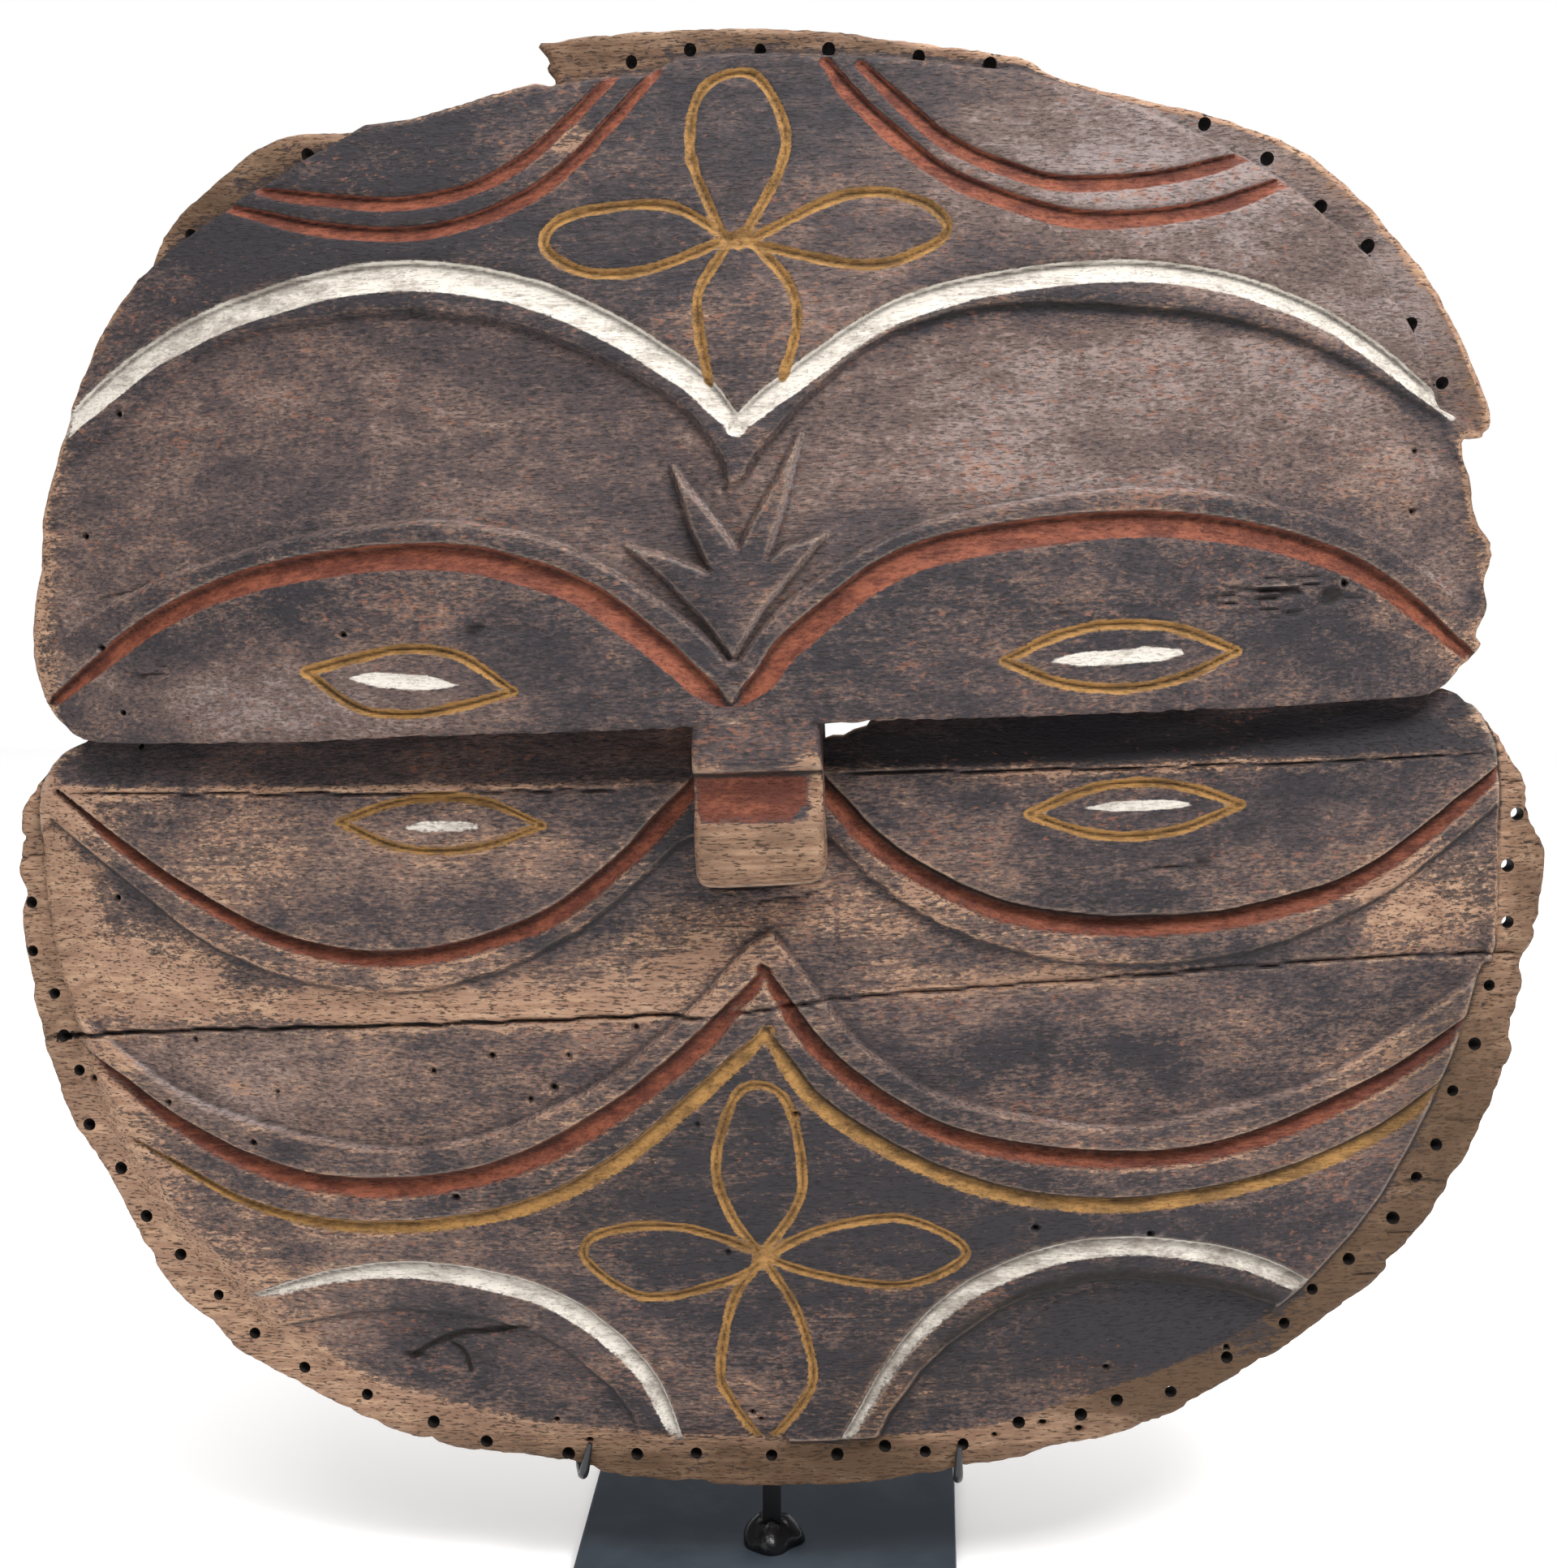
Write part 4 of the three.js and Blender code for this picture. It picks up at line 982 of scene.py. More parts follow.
# Carved lines of the lower half
LOWER_CHANNELS = (
    Channel(RED, (3, 4, 4.4, 5, 5), (
        (-177, -14), (-149, -35.5), (-118, -51.5), (-88, -55.5), (-55.5, -47.5), (-33, -32.5),
        (-12, -11.5)), 3.2, 0.15, 0.6),
    Channel(RED, (5.4, 5.7, 5.4, 5.3, 4.6), (
        (12, -11.5), (30, -32), (57.5, -47), (90, -51.8), (119.5, -49.7), (147, -41),
        (178, -18.5)), 3.8, 0.15, 0.85),
    Channel(RED, (4, 5.1, 5.6, 5.6, 5), (
        (-178, -79), (-147, -101.5), (-118, -112.5), (-85, -113), (-54, -103.5), (-23, -83),
        (0.5, -60)), 3.2, 0.2, 0.6),
    Channel(RED, (4.5, 5, 5, 4.8, 4), (
        (-1, -59), (14.5, -82), (43, -101.7), (81, -109.7), (115, -107), (150, -93),
        (174, -78)), 3.6, 0.25, 0.8),
    Channel(OCHRE, (1.6, 3, 3.8, 4.3, 4.2), (
        (-164, -103), (-132, -119.7), (-100, -124.4), (-65, -119.5), (-40, -108), (-18.5, -91),
        (0.5, -74)), 1.9, 0.1, 0.6),
    Channel(OCHRE, (4.2, 4.4, 4, 4.1, 3.6), (
        (-1, -74.5), (14, -95), (45.5, -113.5), (80, -121), (115, -118), (145.5, -108),
        (169, -92)), 2.2, 0.15, 0.9),
    Channel(WHITE, (2.5, 4.3, 5.6, 5.1, 4), (
        (-136, -144.5), (-105.5, -136.5), (-80, -136.5), (-54, -144), (-35, -161.5),
        (-26.5, -183)), 2.0, 0.0, 0.3),
    Channel(WHITE, (3.4, 4.6, 5.2, 5.1, 4.4), (
        (14.5, -182), (32, -154.7), (52, -138.7), (80, -131.8), (110.5, -136.5), (133, -147)), 2.2, 0.1, 0.4),
)
CHEEK_PANEL = Panel((
    (-184, -16), (-160, -35.5), (-140, -51), (-119, -60), (-98, -63.5), (-81.5, -62.5),
    (-61, -57), (-41, -46.5), (-14, -23), (15, -25), (28, -39.5), (46, -51.5), (69, -59),
    (96, -61), (119.5, -58.5), (147, -48), (167, -34), (179, -25), (177, -66), (152.5, -82),
    (132.5, -93.5), (107.5, -99), (81, -103), (41, -93), (22, -79.5), (6.5, -57), (0.5, -49),
    (-17.5, -69), (-40.5, -87.5), (-69, -100.5), (-95, -105), (-123.5, -100.5),
    (-148.5, -92.5), (-168.5, -78.5), (-183, -66),
), 2.5, 1.3)
LEFT_CORNER_PANEL = Panel((
    (-133, -152), (-101, -146), (-79, -146.5), (-57, -153), (-39, -170), (-34, -190),
    (-90, -190), (-133, -170),
), 1.8, 0.9)
RIGHT_CORNER_PANEL = Panel((
    (22, -190), (23, -178), (36.5, -159), (57, -144.5), (80.5, -139.5), (107.5, -144),
    (126, -151), (110, -175), (60, -192),
), 3.4, 1.4, 2.3)
LOWER_LINES = (
    Line(OCHRE, (
        (-2, -133), (-10.5, -121), (-14, -108), (-9.5, -92), (-3.5, -87.3), (4, -92), (7, -109.5),
        (4.5, -119.5), (-5, -132))),
    Line(OCHRE, (
        (-2, -131), (-22.5, -123.5), (-42, -124.5), (-47.5, -131.5), (-33.5, -141.5),
        (-13.5, -138), (-1, -131.5))),
    Line(OCHRE, (
        (-3, -131.5), (9.5, -125), (30.5, -122), (46, -131.5), (31, -139.5), (9, -136), (-4, -131))),
    Line(OCHRE, ((-4, -132), (-11.5, -143), (-15.5, -161.5), (-13.5, -169), (-7, -180))),
    Line(OCHRE, ((-4, -131), (4, -145.5), (7.5, -162), (4.5, -170.5), (-3, -180))),
    *eye((-102, -21.5), (-52, -23), 6.6),
    *eye((63.5, -23.5), (113.5, -23.5), 6.4),
    Line(WHITE, ((-87, -23), (-76, -22.8), (-65, -23)), 2.0, 0.25, 0.2, 1.0),
    Line(WHITE, ((76.5, -22.6), (90, -22.5), (103.6, -22.9)), 2.1, 0.25, 0.2, 1.0),
)

# Eye ledge and nose, in millimetres
LEDGE_FOOT = -13.5
LEDGE_RISE = 2.2
LEDGE_BACK = 1.5
LEDGE_DEPTH_MIDDLE = 9.0
LEDGE_DEPTH_END = 4.5
NOSE_LEFT = -14.0
NOSE_RIGHT = 15.5
NOSE_TOP = 6.0
NOSE_FOOT = -37.7
NOSE_RED_TOP = -10.2
NOSE_RED_FOOT = -22.0
NOSE_OUTLINE = (
    (-14, 6), (-14, -2), (-14.4, -33), (-13.6, -36.6), (-11, -37.7), (4, -37.6), (12, -37),
    (15, -35.8), (16, -32.5), (15.5, -2), (15.5, 6),
)
NOSE_PROFILE_V = (-38.2, -37.2, -35.4, -33, -29, -24.4, -22.2, -19, -15.4, -12, -10.6, -9.8, -9, 0, 8)
NOSE_PROFILE_W = (-9, -5, -2.6, -1.2, -0.6, -0.6, -1.2, -3.2, -4.1, -3.6, -2.6, -0.4, 0.5, 0, -0.8)
SLITS = (
    ((-44, -0.4), (-30, -0.6), (-15, -0.5), (-15, 3), (-44, 3)),
    (
        (15.6, -5.2), (17.5, -4.6), (20, -4.7), (22.5, -3.4), (25.6, -2.6), (27, -0.6), (31, 0.5),
        (46, 0.8), (46, 2), (15.6, 2),
    ),
)
SLIT_LOW = -6.0
SLIT_HIGH = 21.0

# Wear, tone with some painted sheen and shadow, soil, dents, torn fibres and cracks
UPPER_WEAR = patches(
    (-176, 25, 4, 26, 0.55), (-170, 62, 4, 30, 0.3), (-165, 4, 16, 5, 0.25), (170, 45, 5, 20, 0.4),
    (164, 12, 12, 6, 0.25), (-38, 137, 6, 4.5, 0.5), (110, 84, 26, 10, 0.14), (30, 66, 34, 10, 0.06),
    (150, 52, 14, 22, 0.16), (-120, 30, 26, 5, 0.12), (40, 26, 36, 5, 0.1), (130, 118, 12, 12, 0.2),
    (-2, 92, 9, 12, 0.1), (-60, 66, 18, 12, 0.06), (150, 20, 16, 10, 0.14),
)
# The pale patches over the upper right, strongest at (95, 128), are a painted sheen.
UPPER_TONE_AND_SHEEN = patches(
    (95, 128, 56, 22, 0.8), (165, 95, 26, 30, 0.45), (-110, 8, 60, 14, 0.62), (80, 8, 60, 12, 0.12),
    (20, 100, 20, 14, 0.3), (130, 98, 40, 22, 0.4), (95, 76, 90, 26, 0.26), (50, 62, 46, 20, 0.12),
    (-60, 78, 50, 14, 0.1), (-80, 58, 80, 9, 0.12), (0, 30, 16, 14, 0.12), (-100, 118, 50, 22, -0.25),
    (-60, 140, 40, 10, -0.15), (30, 115, 34, 16, 0.06), (90, 20, 60, 10, -0.1),
    (-120, 30, 40, 12, -0.05), (160, 40, 18, 26, 0.2), (20, 12, 30, 9, -0.12), (130, 46, 50, 3, -0.2),
    (-100, 50, 60, 3, -0.1), (-165, 20, 14, 20, 0.2),
)
UPPER_SOIL = patches(
    (-130, 98, 44, 16, 0.4), (-125, 130, 34, 16, 0.4), (-10, 158, 60, 6, 0.3), (110, 138, 60, 14, 0.15),
    (170, 80, 14, 24, 0.3), (172, 45, 8, 20, 0.3),
)
UPPER_DENTS = patches(
    (-85, 74, 9, 2.2, 0.5), (112, 32, 12, 2.4, 0.5), (105, 24, 16, 1.6, 0.4), (60, 74, 10, 2, 0.35),
    (-54, 24, 6, 1.4, 0.5),
)
UPPER_SPLINTERS = patches(
    (124, 26, 20, 5.5, 1.2), (74.5, 24.6, 7, 1.6, 0.9), (-63.5, 24.2, 4, 1.4, 1.1),
    (-147, 16.5, 6, 3, 0.8),
)
UPPER_CRACKS = (
    Crack(((70, 121), (70.5, 135), (70, 143)), 0.5, 0.5, 0.3),
    Crack(((9.2, 54.5), (10.4, 51), (11.8, 47.4)), 0.4, 0.4, 0.3),
    Crack(((-4.4, 56), (-4.6, 53), (-4.2, 50.5)), 0.7, 0.8, 0.5),
    Crack(((110, 28), (118, 27), (128, 27.4)), 0.8, 0.8, 0.6),
    Crack(((-160, 34), (-150, 36), (-146, 38)), 0.5, 0.6, 0.7),
)
LOWER_WEAR = patches(
    (132, -128, 48, 22, -0.16), (95, -158, 34, 12, -0.5), (-120, -60, 60, 12, 0.12),
    (60, -126, 44, 20, -0.1), (100, -28, 60, 12, -0.24), (70, -84, 60, 12, -0.08),
    (-90, -132, 50, 9, 0.08), (-90, -30, 50, 12, 0.14), (-178, -42, 14, 30, 0.6),
    (-154, -58, 24, 12, 0.5), (-95, -68, 80, 5, 0.65), (-128, -30, 20, 12, 0.3),
    (-115, -85, 46, 10, 0.28), (-50, -60, 40, 9, 0.2), (-20, -52, 26, 12, 0.4), (32, -47, 20, 10, 0.28),
    (60, -62, 50, 5, 0.22), (163, -50, 22, 14, 0.55), (162, -79, 22, 8, 0.3), (120, -80, 30, 9, 0.16),
    (172, -7, 8, 5, 0.75), (-168, -95, 8, 18, 0.5), (-160, -118, 10, 22, 0.45),
    (-138, -140, 18, 16, 0.4), (-118, -156, 14, 10, 0.35), (-90, -166, 26, 8, 0.15),
    (-84, -156, 34, 15, -0.36), (-64, -170, 20, 8, 0.1), (0, -115, 40, 26, -0.14),
    (26, -172, 10, 12, 0.25), (90, -168, 46, 6, 0.3), (-60, -148, 12, 5, 0.1), (-50, -30, 40, 10, 0.12),
    (90, -36, 60, 9, 0.1), (-170, -16, 20, 8, 0.4), (-120, -100, 50, 4, 0.15), (-60, -95, 40, 6, 0.1),
    (30, -160, 12, 10, 0.2), (60, -112, 60, 4, 0.05), (-100, -13.5, 70, 1.4, 0.5),
    (-30, -11, 12, 2, 0.3), (110, -13.8, 60, 1.2, 0.4), (148, -90, 24, 5, 0.2),
)
# The dark patch at (100, -8) along the right of the eye ledge is a painted shadow under the lip and the nose.
LOWER_TONE_AND_SHADE = patches(
    (-120, -88, 60, 14, 0.3), (-60, -62, 50, 10, 0.25), (-90, -135, 50, 8, 0.25),
    (-120, -150, 22, 10, 0.3), (-50, -152, 20, 10, 0.15), (80, -70, 70, 8, 0.15),
    (-90, -34, 60, 14, 0.25), (-24, -115, 26, 22, -0.6), (36, -128, 40, 22, -0.6),
    (20, -168, 30, 18, -0.3), (95, -158, 34, 12, -1.0), (-52, -120, 16, 12, -0.35),
    (-84, -158, 18, 12, -0.3), (70, -84, 34, 9, -0.3), (100, -28, 60, 12, -0.02),
    (100, -8, 80, 6, -0.65), (-100, -6, 80, 8, 0.05), (-30, -6, 20, 8, 0.1), (-130, -84, 46, 18, 0.25),
    (0, -110, 40, 40, -0.15), (120, -140, 50, 24, -0.25), (80, -165, 40, 12, -0.2),
    (-90, -26, 60, 10, 0.15), (90, -20, 50, 10, -0.1), (120, -128, 40, 12, -0.05),
    (-40, -165, 10, 16, -0.2), (-5, -44, 14, 8, -0.2),
)
LOWER_SOIL = patches(
    (110, -168, 60, 16, 0.75), (142, -146, 24, 20, 0.5), (168, -110, 22, 46, 0.65),
    (186, -45, 7, 30, 0.4), (0, -189, 80, 7, 0.6), (-90, -184, 50, 8, 0.3), (-182, -60, 9, 50, 0.25),
    (-30, -50, 30, 14, 0.2), (90, -64, 60, 6, 0.2), (75, -142, 60, 18, 0.45), (-75, -145, 60, 18, 0.1),
    (20, -172, 14, 20, 0.4),
)
LOWER_DENTS = patches(
    (108, -36, 9, 2.5, 0.6), (-95, -152, 8, 1.6, 0.8), (-72, -160, 7, 2, 0.7), (-56, -92, 6, 1.5, 0.4),
)
LOWER_SPLINTERS = patches(
    (100, -37.5, 10, 2.6, 0.6), (-93, -159, 5, 2, 0.7),
)
LOWER_CRACKS = (
    # The first crack lines the foot of the nose and is blackened: a painted shadow under the nose.
    Crack(((-13.6, -38.9), (0, -39.1), (14.6, -37.8)), 0.8, 0.7, 0.8),
    Crack(((-2, -42.4), (8, -41.6), (17.4, -39.4)), 0.4, 0.6, 0.7),
    Crack(((-191, -77.8), (-152.5, -75), (-90.5, -72.5), (-52, -71), (-11, -70)), 0.6, 2.8),
    Crack((
        (-11, -70), (5, -68), (27, -66), (51.5, -65.5), (101, -63.5), (155, -63),
        (190, -65)), 0.3, 2.2, 0.9),
    Crack(((-175, -14.2), (-105, -14.6), (-30, -14.6)), 0.3, 1.2, 0.7),
    Crack(((17, -12.2), (70, -13.2), (130, -14.2), (176, -14.4)), 0.3, 1.2, 0.8),
    Crack(((17.5, -40), (17.2, -47), (17.6, -57)), 0.5, 0.8, 0.5),
    Crack(((-95, -160), (-85, -154.5), (-74, -151.5), (-62, -150.5)), 1.2, 0.9, 0.9),
    Crack(((-84, -155), (-80.5, -158), (-79, -164)), 0.9, 0.8, 0.8),
    Crack(((57, -157), (66, -148), (80, -143)), 0.5, 0.5, 0.4),
    Crack(((84, -39), (96, -37.5), (112, -38.5)), 0.6, 0.6, 0.6),
)
# Short cracks along the grain in the flange: outer end, level and length
RIM_CRACKS = (
    (190, -50, 9), (187, -75, 12), (181, -93, 8), (174, -106, 10), (166, -121, 12), (157, -134, 7),
    (186, -22, 8), (190, -38, 6), (184, -66, 7), (150, -144, 9), (-190, -31, 8), (-191, -46, 6),
    (-189, -63, 9), (-185, -90, 8), (-177, -108, 7), (-167, -128, 8), (-150, -149, 8),
)
NOSE_WEAR = patches(
    (-10, -8.4, 5, 1.7, 0.6), (11, -7.4, 4.5, 3.2, 0.6), (14, -16, 2.0, 8, 0.5),
    (-14.2, -18, 1.0, 22, 0.6),
)

# Lashing holes and worm holes
HOLE_DIAMETER = 3.2
HOLE_SLANT_UPPER = 0.62
HOLE_SLANT_LOWER = 0.38
STRAIGHT_SLANT = 0.12
# The background shows through these holes
STRAIGHT_HOLES = ((182.5, -30), (180, -42.5), (180, -56.5), (96, -172))
UPPER_HOLES = (
    (-104, 137.5), (-134.5, 120.5), (-25, 155.5), (-11, 157.5), (5.5, 156.5), (21.5, 156),
    (42.5, 153.5), (59, 151), (109, 136), (123.5, 127.5), (136, 116), (147, 106.5), (157, 88),
    (164.5, 74),
)
LOWER_HOLES = (
    (182.5, -30), (180, -42.5), (180, -56.5), (175.5, -72), (172, -86.5), (166.5, -98),
    (162.5, -111.5), (157.5, -119.5), (151.5, -129.5), (140.5, -139.5), (131.5, -147),
    (124.5, -155.5), (110, -163.5), (96, -172), (82.5, -173.5), (73.5, -177), (58, -178.5),
    (44, -184), (34.5, -185.5), (24.5, -184), (12.5, -186), (-4, -186), (-23, -185.5),
    (-38, -185.5), (-55.5, -185.5), (-76.5, -182.5), (-90, -177.5), (-107, -170.5),
    (-123, -163.5), (-135.5, -154.5), (-144.5, -144.5), (-154, -134), (-162.5, -124),
    (-168.5, -111.5), (-176, -100), (-178, -86), (-181.5, -77), (-183, -66), (-188, -55),
    (-187.5, -42.5),
)
# Shares of a hole's radius: the drill's foot and mouth, and how far the blackened wall reaches
BORE_FOOT = 0.7
BORE_MOUTH = 1.25
BORE_REACH = 1.35
DRILL_LENGTH = 20.0
WORM_DIAMETER = 1.35
WORM_DEPTH = 2.4
WORM_HOLES = (
    (-152, 78), (-160, 22), (-155, 6), (-154, -3), (-96, 24), (-163, 49), (156, 58), (155, 44),
    (138, 28), (-163, -41), (-145, -77), (-153, -93), (-124, -90), (-131, -103), (-174, -88),
    (-83, -84), (-68, -80), (-49, -80), (-53, -88), (-59, -91), (-79, -116), (-32, -73), (-18, -97),
    (6, -95), (-58, -176), (-50, -182), (-12, -130), (-8, -173), (-6, -175), (80, -165), (63, -126),
    (91, -129), (110, -161), (109, -177), (77, -185), (73, -181), (64, -179), (52, -182),
)


# Mesh making


class Solid:
    """A closed mesh in the carving frame, which booleans cut and join."""

    def __init__(self, name: str, bm: bmesh.types.BMesh) -> None:
        """Puts a bmesh into the scene and frees it.

        Args:
            name: Name of the object.
            bm: The closed mesh.
        """
        mesh = bpy.data.meshes.new(name)
        bm.to_mesh(mesh)
        bm.free()
        self.object = bpy.data.objects.new(name, mesh)
        bpy.context.scene.collection.objects.link(self.object)

    def settle(self) -> None:
        """Makes the live modifiers part of the mesh."""
        bpy.context.view_layer.update()
        seen = self.object.evaluated_get(bpy.context.evaluated_depsgraph_get())
        settled = bpy.data.meshes.new_from_object(seen)
        before = self.object.data
        self.object.modifiers.clear()
        self.object.data = settled
        bpy.data.meshes.remove(before)

    def cut(self, tool: "Solid", how: Cut) -> None:
        """Cuts or joins this solid with another, which is used up.

        Args:
            tool: The other solid.
            how: What is kept.
        """
        modifier = self.object.modifiers.new("cut", "BOOLEAN")
        modifier.operation = how.value
        modifier.solver = "MANIFOLD"
        modifier.object = tool.object
        self.settle()
        used = tool.object.data
        bpy.data.objects.remove(tool.object)
        bpy.data.meshes.remove(used)

    def thin(self, triangles: int) -> None:
        """Merges triangles where the face is even, down to a number of them.

        Args:
            triangles: How many to keep.
        """
        current = sum(len(face.vertices) - 2 for face in self.object.data.polygons)
        if current > triangles:
            modifier = self.object.modifiers.new("thin", "DECIMATE")
            modifier.ratio = triangles / current
            self.settle()

    def places(self) -> Array:
        """Places of the mesh's vertices, one row each.

        Returns:
            The places.
        """
        flat = np.empty(len(self.object.data.vertices) * 3, np.float32)
        self.object.data.vertices.foreach_get("co", flat)
        return flat.reshape(-1, 3).astype(float)


def slab(name: str, height: Surface, raster: Raster, step: float, floor: float = -60.0) -> Solid:
    """Makes a block whose top follows a height.

    Args:
        name: Name of the solid.
        height: Height of the top over the carving plane.
        raster: Grid that gives the block's extent.
        step: Size of the top's faces.
        floor: Height of the flat underside.

    Returns:
        The closed block.
    """
    left, right, bottom, top = raster.u[0], raster.u[-1], raster.v[0], raster.v[-1]
    columns, rows = int((right - left) / step), int((top - bottom) / step)
    bm = bmesh.new()
    bmesh.ops.create_grid(bm, x_segments=columns, y_segments=rows, size=1.0)
    upper = len(bm.verts)
    border = [edge for edge in bm.edges if edge.is_boundary]
    skirt = bmesh.ops.extrude_edge_only(bm, edges=border)["geom"]
    foot = [item for item in skirt if isinstance(item, bmesh.types.BMEdge) and item.is_boundary]
    bmesh.ops.contextual_create(bm, geom=foot)
    bmesh.ops.recalc_face_normals(bm, faces=bm.faces)
    solid = Solid(name, bm)
    mesh = solid.object.data
    places = solid.places()
    places[:, 0] = left + (places[:, 0] + 1) / 2 * (right - left)
    places[:, 1] = bottom + (places[:, 1] + 1) / 2 * (top - bottom)
    places[:upper, 2] = height(places[:upper, 0], places[:upper, 1])
    places[upper:, 2] = floor
    mesh.vertices.foreach_set("co", places.ravel())
    mesh.update()
    if mesh.polygons[0].normal.z < 0:
        mesh.flip_normals()
    return solid


def prism(name: str, outline: Array, low: float = -70.0, high: float = 90.0) -> Solid:
    """Makes an upright block on an outline.

    Args:
        name: Name of the solid.
        outline: Corners of the outline.
        low: Height of its underside.
        high: Height of its top.

    Returns:
        The closed block.
    """
    bm = bmesh.new()
    corners = [bm.verts.new((u, v, low)) for u, v in outline]
    face = bm.faces.new(corners)
    raised = bmesh.ops.extrude_face_region(bm, geom=[face])["geom"]
    verts = [item for item in raised if isinstance(item, bmesh.types.BMVert)]
    bmesh.ops.translate(bm, verts=verts, vec=(0, 0, high - low))
    bmesh.ops.recalc_face_normals(bm, faces=bm.faces)
    return Solid(name, bm)


def ragged(outline: Points, amount: float, seed: int) -> Array:
    """Roughens an outline inwards, as broken and worn wood is.

    Args:
        outline: Corners, clockwise or not.
        amount: Deepest bite.
        seed: Seed of the wear.

    Returns:
        The outline with a corner every millimetre or so.
    """
    rows = softened(outline)
    pieces = []
    for start, stop in zip(rows, np.roll(rows, -1, axis=0)):
        count = max(1, int(np.hypot(*(stop - start)) / 1.2))
        shares = np.arange(count)[:, None] / count
        pieces.append(start + (stop - start) * shares)
    line = np.vstack(pieces)
    middle = np.array([0.0, line[:, 1].mean()])
    inwards = middle - line
    inwards /= np.hypot(inwards[:, 0], inwards[:, 1])[:, None]
    u, v = line[:, 0], line[:, 1]
    bite = np.abs(rumple(u, v, 2.3, 2.3, seed)) * 0.5 + np.abs(rumple(u, v, 7, 7, seed + 1)) ** 2
    return line + inwards * (amount * bite)[:, None]


@dataclass(frozen=True)
class Bore:
    """One lashing hole, drilled at a slant.

    Attributes:
        place: Where its middle line meets the face.
        tilt: Turn from upright to its slant.
        radius: Radius at the face.
    """

    place: Vector
    tilt: Matrix
    radius: float

    def near(self, places: Array) -> Array:
        """Tells which places lie on its wall.

        Args:
            places: Places to test, one row each.

        Returns:
            True for each place on the wall.
        """
        along = np.array(self.tilt @ Vector((0, 0, 1)))
        gap = places - np.array(self.place)
        gap -= np.outer(gap @ along, along)
        return np.hypot(np.hypot(gap[:, 0], gap[:, 1]), gap[:, 2]) < BORE_REACH * self.radius


def bores() -> list[Bore]:
    """Works out every lashing hole.

    Returns:
        The holes, those of the upper half first.
    """
    rng = np.random.default_rng(5)
    found = []
    for u, v in (*UPPER_HOLES, *LOWER_HOLES):
        radius = HOLE_DIAMETER / 2 * rng.uniform(0.88, 1.08)
        slant = HOLE_SLANT_UPPER if v > 0 else HOLE_SLANT_LOWER
        slant = STRAIGHT_SLANT if (u, v) in STRAIGHT_HOLES else slant
        axis = Vector((DOME.centre_v - v, u, 0))
        tilt = Matrix.Rotation(slant + rng.uniform(-0.05, 0.05), 3, axis)
        found.append(Bore(Vector((u, v, float(DOME.rim(np.array(u), np.array(v))))), tilt, radius))
    return found


def drills() -> Solid:
    """Makes the drills for the lashing holes, as one solid.

    Returns:
        The drills.
    """
    bm = bmesh.new()
    for bore in bores():
        place = Matrix.Translation(bore.place) @ bore.tilt.to_4x4()
        bmesh.ops.create_cone(
            bm, cap_ends=True, segments=14, radius1=bore.radius * BORE_FOOT,
            radius2=bore.radius * BORE_MOUTH, depth=DRILL_LENGTH, matrix=place,
        )
    return Solid("drills", bm)


# Materials

Socket = bpy.types.NodeSocket


def colour(code: str) -> tuple[float, float, float, float]:
    """Turns an sRGB hex colour into a linear one.

    Args:
        code: The colour, as # and six hex digits.

    Returns:
        Linear red, green and blue, and 1.
    """
    channels = [int(code[i:i + 2], 16) / 255 for i in (1, 3, 5)]
    linear = [c / 12.92 if c <= 0.04045 else ((c + 0.055) / 1.055) ** 2.4 for c in channels]
    return (*linear, 1.0)


# Settings that many of the nodes share. A Mix node's inputs 6 and 7 are its two colours; a MapRange
# node's inputs 1 and 2 are where it starts and ends, and 3 and 4 what it gives there
MIXED = {"data_type": "RGBA", "out": 2}
EASED = {"interpolation_type": "SMOOTHSTEP"}
TIMES = {"operation": "MULTIPLY"}
TIMES_PLUS = {"operation": "MULTIPLY_ADD"}


